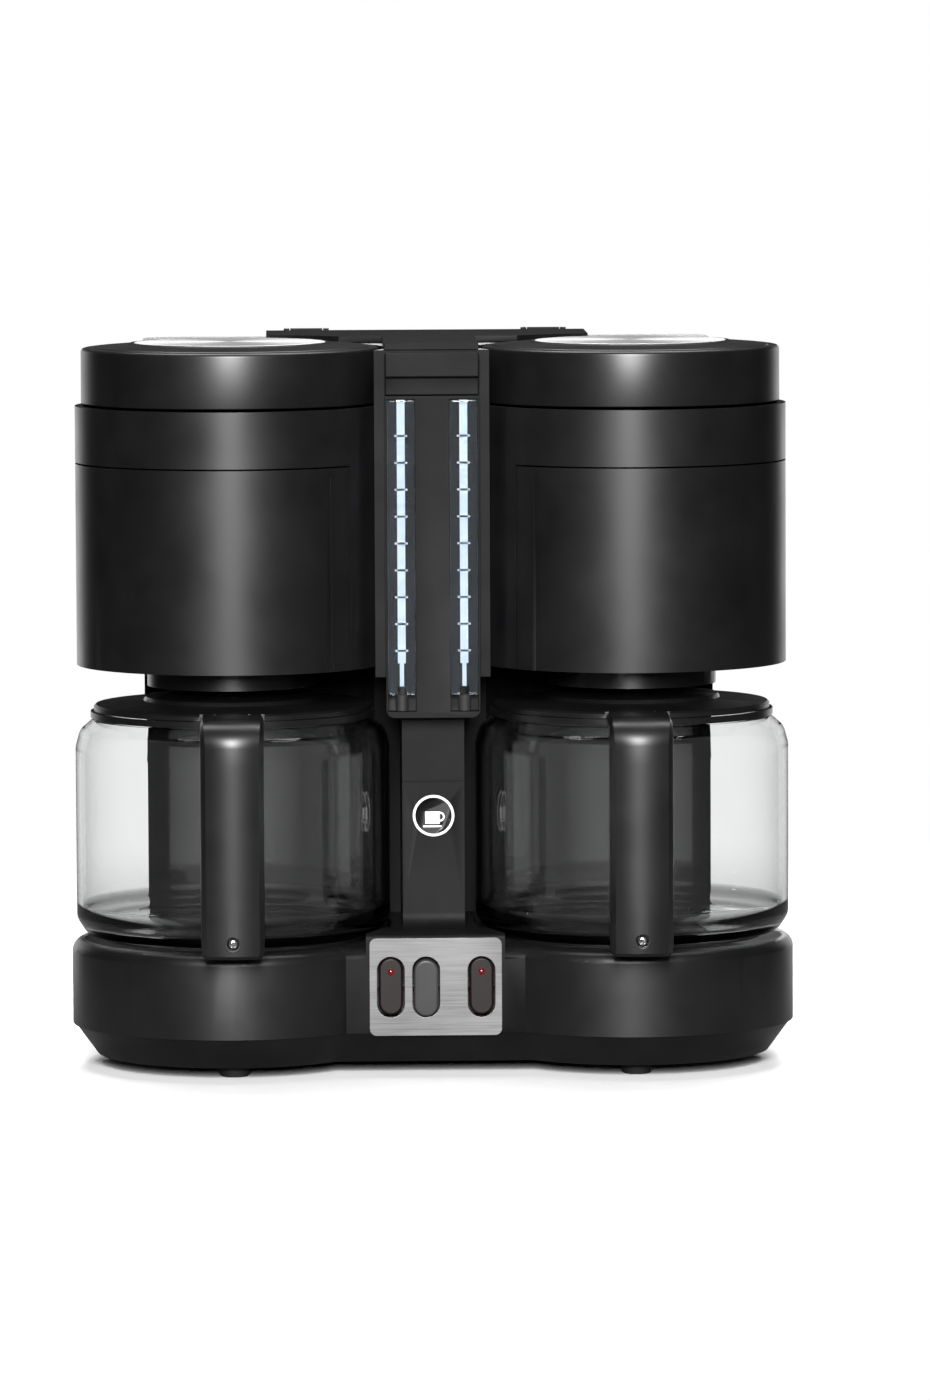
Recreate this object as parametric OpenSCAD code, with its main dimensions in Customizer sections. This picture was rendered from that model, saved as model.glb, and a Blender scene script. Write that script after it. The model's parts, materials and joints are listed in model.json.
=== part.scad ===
// Twin filter coffee brewer: two brewing units side by side on one base, with a tower behind them.
// X runs to the right, -Y is the front and +Z is up. The origin is under the middle of the whole box.

/* [Overall] */
// Distance between the two brewing axes
unit_spacing = 193.2; // [180:0.2:240]
// From the brewing axes back to the rear face
back_reach = 133; // [125:1:180]
// Half the width of the tower behind the units
tower_half = 140; // [130:1:150]
// Width of the centre column
column_w = 30; // [20:1:34]
// How far the column's front stands before the brewing axes
column_front = 25; // [15:1:30]
// Wall of the moulded casings
wall = 2.5; // [2:0.1:3.2]

/* [Base] */
// Radius of the base's two round lobes
lobe_r = 78.3; // [77:0.1:90]
// How far the flat front stands before the brewing axes
flat_front = 57; // [50:1:62]
// Free height of the feet under the base plate
foot_h = 6; // [3:0.5:12]
// Diameter of a foot
foot_d = 15; // [10:0.5:22]
// Height of the base plate
tray_h = 15; // [12:0.5:25]
// How much narrower the base plate is at its bottom
tray_taper = 12; // [6:0.5:14]
// Height of the base housing
base_h = 41; // [38:0.5:60]
// Rounding of the housing's upper edge
base_round = 6; // [2:0.5:8]
// Height of the console over the housing's top
console_rise = 6.5; // [2:0.5:12]
// Radius of a hot plate
plate_r = 61; // [50:0.5:66]
// Thickness of a hot plate
plate_t = 2; // [1:0.1:3]
// How far a hot plate stands over the housing
plate_rise = 1; // [0.5:0.1:1.5]

/* [Switches] */
// Width of the switch plate
panel_w = 63.5; // [60:0.5:66]
// Height of the switch plate
panel_h = 47; // [40:0.5:48]
// Thickness of the switch plate
panel_t = 1.5; // [1:0.1:3]
// Width of a rocker
rocker_w = 11.5; // [8:0.5:13]
// Height of a rocker
rocker_h = 27.5; // [20:0.5:32]
// Clearance around a rocker
rocker_gap = 0.8; // [0.7:0.1:1.2]
// Angle at which a rocker rests
rocker_tilt = 4; // [2:1:5]

/* [Brew heads] */
// Radius of the brew heads
body_r = 75; // [74:0.1:80]
// Radius of the round covers
cover_r = 72; // [66:0.1:73]
// Radius of the metal disc in a cover
disc_r = 46.5; // [30:0.5:55]
// Height of the underside of the heads over the base
head_clear = 133; // [125:1:160]
// Height of the swing-out holders
holder_h = 98; // [85:1:120]
// Height of the band over a holder
band_h = 27; // [24:1:40]
// Height of a round cover
cover_h = 28; // [20:1:40]
// Gap between a holder and the band
seam = 0.8; // [0.5:0.1:1.5]
// Radius of the outlet neck
neck_r = 41; // [30:0.5:44]
// Length of the outlet neck
neck_h = 10.5; // [9:0.5:12]
// Thickness of a holder's wall
holder_wall = 4; // [3:0.1:5]
// Radius of the filter basket's rim
basket_r = 58; // [50:0.5:60]
// Lift of the drip valve while the jug is in place
valve_lift = 4; // [2:0.5:5]

/* [Gauges] */
// Width of the gauge frame
gauge_w = 45; // [40:1:48]
// Distance of a gauge strip from the middle
gauge_x = 15; // [13:0.5:16]

/* [Jugs] */
// Largest radius of a jug
jug_r = 76; // [70:0.5:78]
// Height of the glass
glass_h = 109; // [95:1:111]
// Thickness of the glass wall
glass_t = 3; // [2:0.1:4]
// Thickness of the glass floor
glass_floor = 5; // [3:0.1:8]
// Radius of a jug's neck
jug_neck_r = 66; // [60:0.5:68]
// Width of a handle
handle_w = 30; // [24:1:36]
// How far a handle's front stands before the brewing axes
handle_reach = 113; // [108:1:125]
// Thickness of the grip
grip_t = 15; // [10:0.5:16]

/* [Tank] */
// Half the width of the tank lid
lid_half = 79; // [60:1:100]
// Thickness of the tank lid
lid_t = 3; // [2:0.5:5]
// Wall of a water tank
tank_wall = 2; // [1.5:0.1:3]

/* [Hidden] */
$fn = 96;

// Shared places
unit_x = unit_spacing / 2;
axis_y = (handle_reach - back_reach) / 2;
eps = 0.01;
fit = 0.3;
pin_fit = 0.05;

// Heights, from the bottom up
seam_z = foot_h + tray_h;
base_top = seam_z + base_h;
plate_top = base_top + plate_rise;
head_z = base_top + head_clear;
band_z = head_z + holder_h;
cover_z = band_z + band_h;
cover_top = cover_z + cover_h;
lid_z = cover_top - 0.6;
tower_top = lid_z - fit;
glass_top = plate_top + glass_h;
lid_seat = glass_top + 0.6;
neck_z = head_z - neck_h;
lid_rim_h = 3;
lid_top_z = lid_seat + lid_rim_h + 5.4;

// Turning point of a swing-out holder, by its distance and its angle outwards from the front
hinge_r = 69;
hinge_angle = 110;
hinge_pin_r = 2;
barrel_r = 4.5;
door_inner = 49;
door_outer = 110;
grip_line = 39.5;
post_clear = 117;

// Angle outwards at which a jug leaves
jug_out = 20;

// Console, rockers and their pivots
console_half = panel_w / 2 + 1.5;
console_top = base_top + console_rise;
panel_z = console_top - 1.5 - panel_h / 2;
rocker_x = [-21.5, -4.6, 21.9];
rocker_back = 5;
rocker_pin_r = 1.25;

// Tank lid and its hinge
lid_hinge_y = back_reach - 6;
lid_barrel_r = 1.9;
lid_hinge_z = tower_top + fit + lid_barrel_r;
lid_barrel_w = 16;
lid_pin_r = 0.9;

// Riser tube behind each unit
riser_y = body_r + 16;
riser_r = 4;

black = [0.05, 0.05, 0.055];
steel = [0.72, 0.73, 0.75];

module at_axes() { translate([0, axis_y, 0]) children(); }
module unit(side) { translate([side * unit_x, axis_y, 0]) children(); }
module both_units() { for (side = [-1, 1]) unit(side) children(); }
module ring(r_out, r_in, z0, z1) {
  difference() {
    translate([0, 0, z0]) cylinder(r = r_out, h = z1 - z0);
    translate([0, 0, z0 - 1]) cylinder(r = r_in, h = z1 - z0 + 2);
  }
}
module disc(r, z0, z1) { translate([0, 0, z0]) cylinder(r = r, h = z1 - z0); }
module slab(x0, x1, y0, y1, z0, z1) { translate([x0, y0, z0]) cube([x1 - x0, y1 - y0, z1 - z0]); }
function arc(cx, cy, r, a0, a1, steps = 8) =
  [for (i = [0:steps]) let (a = a0 + (a1 - a0) * i / steps) [cx + r * cos(a), cy + r * sin(a)]];

// A polar direction measured outwards from the front, for the unit on the given side
function outward(side, r, a) = [side * r * sin(a), -r * cos(a)];

// A wedge between two such angles, wide enough to cut any unit
module wedge(side, a0, a1, r = 140) {
  steps = 6;
  polygon(concat([[0, 0]], [for (i = [0:steps]) outward(side, r, a0 + (a1 - a0) * i / steps)]));
}

// Rectangle with rounded rear corners, which is the plan of everything at the back
module rear_plan(half, y0, y1, r) {
  translate([-half, y0]) square([2 * half, y1 - y0 - r]);
  translate([-half + r, y0]) square([2 * (half - r), y1 - y0]);
  for (s = [-1, 1]) translate([s * (half - r), y1 - r]) circle(r = r);
}

// Plan of the base: two lobes, a flat front between them and the rear part
module base_plan(inset = 0) {
  for (s = [-1, 1]) translate([s * unit_x, 0]) circle(r = lobe_r - inset);
  translate([-unit_x, -flat_front + inset]) square([2 * unit_x, flat_front + 10]);
  rear_plan(tower_half - inset, 0, back_reach - inset, 14 - inset);
}

// ---------------------------------------------------------------- base

// A lobe of the housing with a rounded upper edge
module lobe(r, z0, z1, round) {
  rotate_extrude() union() {
    translate([0, z0]) square([r, z1 - z0 - round]);
    translate([0, z0]) square([r - round, z1 - z0]);
    translate([r - round, z1 - round]) circle(r = round);
  }
}

// The straight middle of the housing, with the same rounding along its front
module middle(half, front, back, z0, z1, round) {
  translate([-half, 0, 0]) rotate([90, 0, 90]) linear_extrude(2 * half) union() {
    translate([-front, z0]) square([front + back, z1 - z0 - round]);
    translate([-front + round, z0]) square([front + back - round, z1 - z0]);
    translate([-front + round, z1 - round]) circle(r = round);
  }
}

module base_form(inset, z0, z1, round) {
  for (s = [-1, 1]) translate([s * unit_x, 0, 0]) lobe(lobe_r - inset, z0, z1, round);
  middle(unit_x, flat_front - inset, 20, z0, z1, round);
  translate([0, 0, z0]) linear_extrude(z1 - z0)
    rear_plan(tower_half - inset, 0, back_reach - inset, 14 - inset);
}

// Space that a jug takes up on its way out, forwards and a little outwards
module jug_way(side, r, z0, z1) {
  translate([side * unit_x, 0, 0]) {
    disc(r, z0, z1);
    rotate([0, 0, side * jug_out]) slab(-r, r, -150, 0, z0, z1);
  }
}

// The console rises between the jugs and gives way to them on both sides
module console(inset) {
  difference() {
    union() {
      middle(console_half - inset, flat_front - inset, -column_front, seam_z + 5, console_top - inset, 2);
      slab(-column_w / 2 - 6 + inset, column_w / 2 + 6 - inset, -column_front - 12, column_back - 0.2 - inset,
        base_top - 6, console_top - inset);
    }
    for (s = [-1, 1]) jug_way(s, jug_r + 1 + inset, base_top - inset, console_top + 9);
  }
}

module base_housing() {
  color(black) at_axes() difference() {
    union() {
      base_form(0, seam_z, base_top, base_round);
      console(0);
    }
    base_form(wall, seam_z - 1, base_top - wall, base_round - wall / 2);
    console(wall);
    for (s = [-1, 1]) translate([s * unit_x, 0, 0]) {
      disc(plate_r - 3, base_top - wall - 5, base_top + 1);
      disc(plate_r + 2.5, base_top - plate_t + plate_rise, base_top + 1);
      translate([0, riser_y, 0]) disc(riser_r + fit, base_top - wall - 1, base_top + 1);
    }
    translate([0, -flat_front, 0]) switch_holes(0.4, wall + 1);
    gland_hole();
  }
}

// The pocket in the console's front that takes the switch bodies
module switch_holes(grow, depth) {
  for (x = rocker_x) translate([x, depth, panel_z]) rotate([90, 0, 0])
    linear_extrude(depth + 1) stadium(rocker_w + 2 * rocker_gap + 2 * grow, rocker_h + 2 * rocker_gap + 2 * grow);
}

module stadium(w, h) {
  square([w, h - w], center = true);
  for (s = [-1, 1]) translate([0, s * (h - w) / 2]) circle(d = w);
}

// Tapering shell under the housing
module tray_form(inset, z0, z1) {
  bottom = lobe_r - tray_taper - inset;
  top = lobe_r - 1 - inset;
  for (s = [-1, 1]) translate([s * unit_x, 0, z0]) cylinder(r1 = bottom, r2 = top, h = z1 - z0);
  translate([-unit_x, 0, 0]) rotate([90, 0, 90]) linear_extrude(2 * unit_x)
    polygon([[-flat_front + tray_taper + inset, z0], [20, z0], [20, z1], [-flat_front + 1 + inset, z1]]);
  translate([0, 0, z0]) linear_extrude(z1 - z0)
    rear_plan(tower_half - tray_taper / 2 - inset, 0, back_reach - tray_taper / 2 - inset, 14 - inset);
}

foot_places = [for (s = [-1, 1]) for (y = [-48, 100]) [s * (y > 0 ? unit_x + 10 : unit_x), y]];
foot_seat = 2;

module base_plate() {
  color([0.04, 0.04, 0.045]) at_axes() difference() {
    tray_form(0, foot_h, seam_z);
    difference() {
      tray_form(wall, foot_h + foot_seat + wall, seam_z + eps);
      for (p = screw_places) translate([p[0], p[1], 0]) disc(5, 0, seam_z - 0.5);
    }
    for (p = foot_places) translate([p[0], p[1], 0]) disc(foot_d / 2 + fit / 2, 0, foot_h + foot_seat);
    for (p = screw_places) translate([p[0], p[1], 0]) {
      disc(1.6, 0, seam_z + 1);
      disc(3.4, 0, foot_h + 4);
    }
  }
}

module feet() {
  color([0.06, 0.06, 0.06]) at_axes() for (p = foot_places) translate([p[0], p[1], 0])
    disc(foot_d / 2, 0, foot_h + foot_seat);
}

screw_places = [for (s = [-1, 1]) for (y = [-40, 60]) [s * (unit_x - 50), y]];
screw_head_z = foot_h + 4;

module base_screws() {
  color(steel) at_axes() for (p = screw_places) translate([p[0], p[1], 0]) {
    disc(1.5, screw_head_z - 0.1, seam_z - 1);
    disc(3, screw_head_z - 2, screw_head_z);
  }
}

module hot_plate(side) {
  color([0.12, 0.12, 0.13]) unit(side) difference() {
    disc(plate_r, plate_top - plate_t, plate_top);
    disc(plate_r - 6, plate_top - 0.5, plate_top + 1);
  }
}

module plate_seals() {
  color([0.1, 0.1, 0.1]) both_units()
    ring(plate_r + 2.3, plate_r + 0.2, plate_top - plate_t, base_top + 0.3);
}

element_r = 42;
element_tube = 6;
element_z = plate_top - plate_t;

// Horseshoe heater with a flat top, which lies against the plate
module heating_elements() {
  color([0.6, 0.6, 0.62]) both_units() {
    rotate([0, 0, -60]) rotate_extrude(angle = 300) translate([element_r, element_z - element_tube]) {
      circle(r = element_tube);
      translate([-element_tube, 0]) square([2 * element_tube, element_tube]);
    }
  }
}

module thermostats() {
  color([0.85, 0.82, 0.75]) both_units() {
    disc(9, element_z - 8, element_z);
    slab(-2, 2, -13, 13, element_z - 12, element_z - 6);
  }
}

// ---------------------------------------------------------------- tower

lower_cut = jug_r + 4;
upper_cut = body_r + 0.2;

spine_half = 29;
spine_front = 30;
upper_z = head_z - 5;
column_back = 40;
mouth = [50, 40];
mouth_x = 36;
mouth_y = 96;

// Plan of the tower from y0 back; the cut follows the jugs below and the brew heads above
module tower_plan(inset, cut, y0) {
  difference() {
    rear_plan(tower_half - inset, y0 + inset, back_reach - 3 - inset, 12 - inset);
    for (s = [-1, 1]) translate([s * unit_x, 0]) circle(r = cut + inset);
  }
}

// The upper part of the tower also has a spine between the brew heads
module upper_plan(inset) {
  tower_plan(inset, upper_cut, 0);
  difference() {
    translate([-spine_half + inset, -spine_front + inset]) square([2 * (spine_half - inset), spine_front + 4]);
    for (s = [-1, 1]) translate([s * unit_x, 0]) circle(r = upper_cut + inset);
  }
}

// Ears beside the two barrels of the tank lid
module lid_ears() {
  for (s = [-1, 1]) for (e = [-1, 1])
    translate([s * (lid_half - 20) + e * (lid_barrel_w / 2 + 1.8) - 1.4, lid_hinge_y - 3, tower_top - 1])
      cube([2.8, 6, lid_hinge_z - tower_top + 1 + lid_barrel_r]);
}

module tower() {
  color(black) at_axes() difference() {
    union() {
      translate([0, 0, base_top]) linear_extrude(upper_z - base_top) tower_plan(0, lower_cut, column_back);
      translate([0, 0, upper_z]) linear_extrude(tower_top - upper_z) upper_plan(0);
      lid_ears();
    }
    // Room behind the jugs and room for the tanks, both open to the back
    translate([0, 0, base_top - 1]) linear_extrude(upper_z - base_top + 1) tower_plan(wall, lower_cut, column_back);
    translate([0, 0, upper_z + wall]) linear_extrude(tower_top - upper_z - 2 * wall) upper_plan(wall);
    slab(-tower_half + 6, tower_half - 6, back_reach - 12, back_reach, base_top + 5, upper_z);
    slab(-tower_half + 6, tower_half - 6, back_reach - 12, back_reach, upper_z + wall, tower_top - 8);
    // Mouths over the two tanks
    for (s = [-1, 1]) translate([s * mouth_x, mouth_y, tower_top - wall - 1]) linear_extrude(9)
      square(mouth, center = true);
    for (s = [-1, 1]) translate([s * unit_x, riser_y, 0]) {
      disc(riser_r + fit, upper_z - 1, upper_z + wall + 1);
      translate([0, 0, riser_z]) rotate([90, 0, 0]) cylinder(r = riser_r + fit, h = 30);
    }
    translate([0, lid_hinge_y, lid_hinge_z]) rotate([0, 90, 0])
      cylinder(r = lid_pin_r + 0.02, h = 2 * lid_half, center = true);
  }
}

// Column between the jugs, which stands on the console
module column() {
  color(black) at_axes() difference() {
    union() {
      slab(-column_w / 2, column_w / 2, -column_front, column_back - 0.2, console_top, upper_z - 0.2);
      column_foot();
    }
    slab(-column_w / 2 + wall, column_w / 2 - wall, -column_front + wall, column_back + 1, console_top - 1,
      upper_z - wall);
    badge_seat();
    slab(-column_w / 2 - 1, column_w / 2 + 1, -column_front - 1, -column_front + 0.6, column_split,
      column_split + 0.8);
  }
}

foot_fillet = 7;
column_split = console_top + 70;

// Fillet at the foot of the column
module column_foot() {
  y0 = -column_front;
  translate([-column_w / 2, 0, 0]) rotate([90, 0, 90]) linear_extrude(column_w)
    polygon(concat([[y0 + 1, console_top], [y0 - foot_fillet, console_top]],
      arc(y0 - foot_fillet, console_top + foot_fillet, foot_fillet, -90, 0), [[y0 + 1, console_top + foot_fillet]]));
}

badge_r = 10;
badge_z = console_top + 54;
badge_t = 0.8;

module badge_seat() {
  translate([0, -column_front + badge_t - 0.3, badge_z]) rotate([90, 0, 0]) cylinder(r = badge_r + 0.1, h = 3);
}

// Plain round badge with a raised rim and a cup
module badge() {
  color([0.9, 0.9, 0.9]) at_axes() translate([0, -column_front + badge_t - 0.3, badge_z]) rotate([90, 0, 0]) {
    cylinder(r = badge_r, h = badge_t);
    ring(badge_r, badge_r - 1.2, badge_t - eps, badge_t + 0.3);
    linear_extrude(badge_t + 0.3) {
      translate([-4, -4]) square([7, 6]);
      difference() {
        translate([3, -0.5]) circle(r = 2.4);
        translate([3, -0.5]) circle(r = 1.5);
      }
      translate([-5, -5.6]) square([9, 0.9]);
    }
  }
}

back_screw_places = [for (s = [-1, 1]) for (z = [base_top + 14, head_z, tower_top - 14])
  [s * (tower_half - 8), z]];

module back_cover() {
  color([0.06, 0.06, 0.065]) at_axes() difference() {
    slab(-tower_half + 4, tower_half - 4, back_reach - 3, back_reach, base_top + 2, tower_top - 2);
    for (p = back_screw_places) translate([p[0], back_reach + 1, p[1]]) rotate([90, 0, 0]) {
      cylinder(r = 1.6, h = 9);
      cylinder(r = 3.2, h = 2.5);
    }
    // Vents low on the back
    for (x = [-60:12:60]) slab(x - 2, x + 2, back_reach - 6, back_reach + 1, base_top + 12, base_top + 40);
  }
}

module back_screws() {
  color(steel) at_axes() for (p = back_screw_places) translate([p[0], back_reach - 0.3, p[1]]) rotate([90, 0, 0]) {
    cylinder(r = 1.5, h = 5);
    cylinder(r = 3, h = 1.2);
  }
}

// ---------------------------------------------------------------- tanks and gauges

tank_z = upper_z + wall + 0.3;
tank_top = tower_top - wall - 3;
tank_gap = 1;

// Plan of one tank: the corner between the brew head, the middle and the back
module tank_plan(inset) {
  d = wall + tank_gap + inset;
  difference() {
    union() {
      translate([2 + inset, 0]) square([tower_half - d - 2 - inset - 5, back_reach - 3 - d - 9]);
      translate([2 + inset, -spine_front + d + 12]) square([spine_half - d - 2 - inset, spine_front]);
    }
    translate([unit_x, 0]) circle(r = upper_cut + d);
    translate([unit_x, riser_y]) circle(r = riser_r + 2 + inset);
    translate([unit_x - riser_r - 2 - inset, 0]) square([2 * (riser_r + 2 + inset), riser_y]);
    translate([unit_x + riser_r + 2 + inset - eps, -1]) square([100, body_r + 8]);
  }
}

module water_tank(side) {
  color([0.75, 0.8, 0.85, 0.7]) at_axes() mirror([side < 0 ? 1 : 0, 0, 0]) difference() {
    translate([0, 0, tank_z]) linear_extrude(tank_top - tank_z) tank_plan(0);
    translate([0, 0, tank_z + tank_wall]) linear_extrude(tank_top - tank_z) tank_plan(tank_wall);
  }
}

gauge_z0 = head_z - 24;
gauge_z1 = cover_z + 5.5;
frame_t = 9;
window_w = 13.5;
window_z0 = gauge_z0 + 3;
tube_z0 = gauge_z0 + 11;
gauge_front = -spine_front - frame_t;
strip_y = -spine_front - 2.5;
tube_y = (gauge_front + strip_y) / 2;
tube_bore = 2.3;

// Frame with two channels that are open to the front
module gauge_frame() {
  color(black) at_axes() difference() {
    slab(-gauge_w / 2, gauge_w / 2, gauge_front, -spine_front - 0.1, gauge_z0, gauge_z1);
    for (s = [-1, 1]) {
      slab(s * gauge_x - window_w / 2, s * gauge_x + window_w / 2, gauge_front - 1, strip_y + 0.5, window_z0,
        gauge_z1 - 1.5);
      translate([s * gauge_x, 0, tube_z0 - 4]) rotate([90, 0, 0]) cylinder(r = 2.4, h = 60);
      // Rounded lower corners
      translate([s * (gauge_w / 2 - corner_r), gauge_front - 1, gauge_z0 + corner_r]) rotate([-90, 0, 0])
        linear_extrude(frame_t + 2) difference() {
          translate([s > 0 ? 0 : -corner_r - 1, 0]) square(corner_r + 1);
          circle(r = corner_r);
        }
    }
  }
}

corner_r = 4;

// Clear gauge blocks, each with an upright bore for the water
module sight_tubes() {
  color([0.8, 0.9, 0.95, 0.5]) at_axes() for (s = [-1, 1]) difference() {
    slab(s * gauge_x - window_w / 2 + 0.2, s * gauge_x + window_w / 2 - 0.2, gauge_front + 0.3, strip_y - 0.2,
      tube_z0, gauge_z1 - 1.8);
    translate([s * gauge_x, tube_y, 0]) disc(tube_bore, tube_z0 - 1, gauge_z1 - 8);
  }
}

strip_w = 3.8;
tick_w = 6.2;
tick_n = 9;
tick_pitch = 12.9;
tick_z0 = head_z + 8;

// Scale strips with ticks, on the floor of the channels
module gauge_strips() {
  color("white") at_axes() for (s = [-1, 1]) translate([s * gauge_x, strip_y, 0]) {
    slab(-strip_w / 2, strip_w / 2, 0, 0.4, head_z + 2, gauge_z1 - 3);
    slab(-1, 1, 0, 0.4, tube_z0, head_z + 2);
    for (i = [0:tick_n - 1]) slab(-tick_w / 2, tick_w / 2, 0, 0.4, tick_z0 + i * tick_pitch - 0.5,
      tick_z0 + i * tick_pitch + 0.5);
  }
}

// Rubber elbows that close the blocks at the bottom and lead back to the tanks
module gauge_elbows() {
  color([0.08, 0.08, 0.08]) at_axes() for (s = [-1, 1]) translate([s * gauge_x, tube_y, 0]) {
    disc(3, window_z0 + 0.2, tube_z0 - 0.1);
    disc(tube_bore - 0.1, tube_z0 - 1, tube_z0 + 4);
    translate([0, 0, tube_z0 - 4]) rotate([-90, 0, 0]) cylinder(r = 2.2, h = -spine_front - tube_y);
  }
}

block_split = gauge_z1 + 9;

module top_block() {
  color(black) at_axes() difference() {
    union() {
      slab(-gauge_w / 2, gauge_w / 2, gauge_front - 2, -spine_front - 0.2, block_split, lid_z - 1.2);
      slab(-gauge_w / 2, gauge_w / 2, gauge_front + 1, -spine_front - 0.2, gauge_z1 + 0.2, block_split + 1);
    }
    for (s = [-1, 1]) translate([s * unit_x, 0, 0]) disc(cover_r + 0.6, cover_z - 6, cover_top + 5);
  }
}

// ---------------------------------------------------------------- tank lid

module tank_lid_plan() {
  difference() {
    union() {
      translate([-lid_half, 50]) square([2 * lid_half, lid_hinge_y - 4 - 50]);
      translate([-gauge_w / 2, -spine_front - 2]) square([gauge_w, 90]);
    }
    for (s = [-1, 1]) translate([s * unit_x, 0]) circle(r = cover_r + 0.8);
  }
}

module tank_lid() {
  color(black) at_axes() {
    translate([0, 0, lid_z]) linear_extrude(lid_t) tank_lid_plan();
    for (s = [-1, 1]) translate([s * (lid_half - 20) - lid_barrel_w / 2, lid_hinge_y, lid_hinge_z]) rotate([0, 90, 0])
      difference() {
        union() {
          cylinder(r = lid_barrel_r, h = lid_barrel_w);
          translate([0, -6, 0]) cube([lid_barrel_r, 6, lid_barrel_w]);
        }
        translate([0, 0, -1]) cylinder(r = lid_pin_r + pin_fit, h = lid_barrel_w + 2);
      }
  }
}

module tank_lid_pins() {
  color(steel) at_axes() for (s = [-1, 1]) translate([s * (lid_half - 20), lid_hinge_y, lid_hinge_z])
    rotate([0, 90, 0]) cylinder(r = lid_pin_r, h = lid_barrel_w + 6.4, center = true);
}

// ---------------------------------------------------------------- brew heads

riser_z = band_z + 14;

roof_t = 2.5;
lug_h = 4;

// Cylinder with a room for the swing-out holder, and a second room over it for the water
module brew_head(side) {
  hinge = outward(side, hinge_r, hinge_angle);
  color(black) unit(side) difference() {
    disc(body_r, head_z, cover_z);
    difference() {
      disc(body_r - wall - 2, head_z - 1, band_z);
      // Lug that carries the lower end of the hinge pin
      translate([hinge[0], hinge[1], 0]) disc(barrel_r, head_z, head_z + lug_h);
      lug_arm(side);
    }
    // The holder's way out: clear of the lug low down, and the full width over it
    translate([0, 0, head_z - 1]) linear_extrude(band_z - head_z + 1) difference() {
      wedge(side, -door_inner - 0.8, post_clear);
      wedge(side, hinge_angle - 2, post_clear + 10);
    }
    translate([0, 0, head_z + lug_h]) linear_extrude(holder_h - lug_h) wedge(side, 0, post_clear);
    disc(body_r - 4, band_z + roof_t, cover_z + 1);
    disc(8, band_z - 1, band_z + roof_t + 1);
    translate([hinge[0], hinge[1], 0]) disc(hinge_pin_r + 0.02, head_z - 1, band_z + roof_t - 0.5);
    translate([0, riser_y, riser_z]) rotate([90, 0, 0]) cylinder(r = riser_r + fit, h = 40);
  }
}

// Arm between the lug and the post behind it
module lug_arm(side) {
  translate([0, 0, head_z]) linear_extrude(lug_h) intersection() {
    wedge(side, hinge_angle, post_clear + 12);
    difference() {
      circle(r = body_r);
      circle(r = floor_r + 0.8);
    }
  }
}

cover_round = 2;
dome_h = 2.2;

module head_cover(side) {
  color(black) unit(side) difference() {
    union() {
      rotate_extrude() {
        square_top(cover_r, cover_z + 1.2, cover_top, cover_round);
        polygon([[0, cover_top - 1], [cover_r - cover_round, cover_top - 1], [cover_r - cover_round, cover_top],
          [disc_r + 2, cover_top + dome_h], [0, cover_top + dome_h]]);
      }
      ring(body_r - 4.2, body_r - 7, cover_z - 8, cover_z + 1.3);
    }
    disc(cover_r - wall, cover_z, cover_top - 5);
    disc(disc_r + 0.2, cover_top + dome_h - 1.2, cover_top + dome_h + 1);
  }
}

// Half of a lid's section with one rounded upper corner
module square_top(r, z0, z1, round) {
  translate([0, z0]) square([r, z1 - z0 - round]);
  translate([0, z0]) square([r - round, z1 - z0]);
  translate([r - round, z1 - round]) circle(r = round);
}

module cover_discs() {
  color(steel) both_units() disc(disc_r, cover_top + dome_h - 1.2, cover_top + dome_h + 0.2);
}

spray_r = 40;

module spray_heads() {
  color([0.2, 0.2, 0.2]) both_units() difference() {
    union() {
      disc(spray_r, band_z - 5, band_z - 0.1);
      disc(7.7, band_z - 1, riser_z - riser_r - 0.2);
    }
    disc(spray_r - 2, band_z - 3.5, band_z - 1.5);
    disc(4, band_z - 3, riser_z);
    for (ring_r = [12, 24, 34]) for (a = [0:45:315]) rotate([0, 0, a + ring_r]) translate([ring_r, 0, 0])
      disc(1.2, band_z - 6, band_z - 3);
  }
}

// Tubes that carry the hot water from the base to the spray heads
module riser_tubes() {
  color([0.85, 0.85, 0.8]) both_units() difference() {
    union() {
      translate([0, riser_y, 0]) disc(riser_r, base_top - 12, riser_z + riser_r);
      translate([0, riser_y, riser_z]) rotate([90, 0, 0]) cylinder(r = riser_r, h = riser_y + 6);
    }
    translate([0, riser_y, 0]) disc(riser_r - 1.5, base_top - 13, riser_z);
    translate([0, riser_y, riser_z]) rotate([90, 0, 0]) cylinder(r = riser_r - 1.5, h = riser_y + 4);
    disc(2.5, riser_z - riser_r - 1, riser_z);
  }
}

// ---------------------------------------------------------------- filter holders

floor_t = 3.5;
holder_z = head_z;
holder_top = band_z - seam;
floor_r = 66;
cup_r = basket_r + 1.4;
valve_bore = 4.4;

module door_sector(side, r_in, r_out, z0, z1) {
  translate([0, 0, z0]) linear_extrude(z1 - z0) intersection() {
    wedge(side, -door_inner, door_outer);
    difference() {
      circle(r = r_out);
      circle(r = r_in);
    }
  }
}

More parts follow.
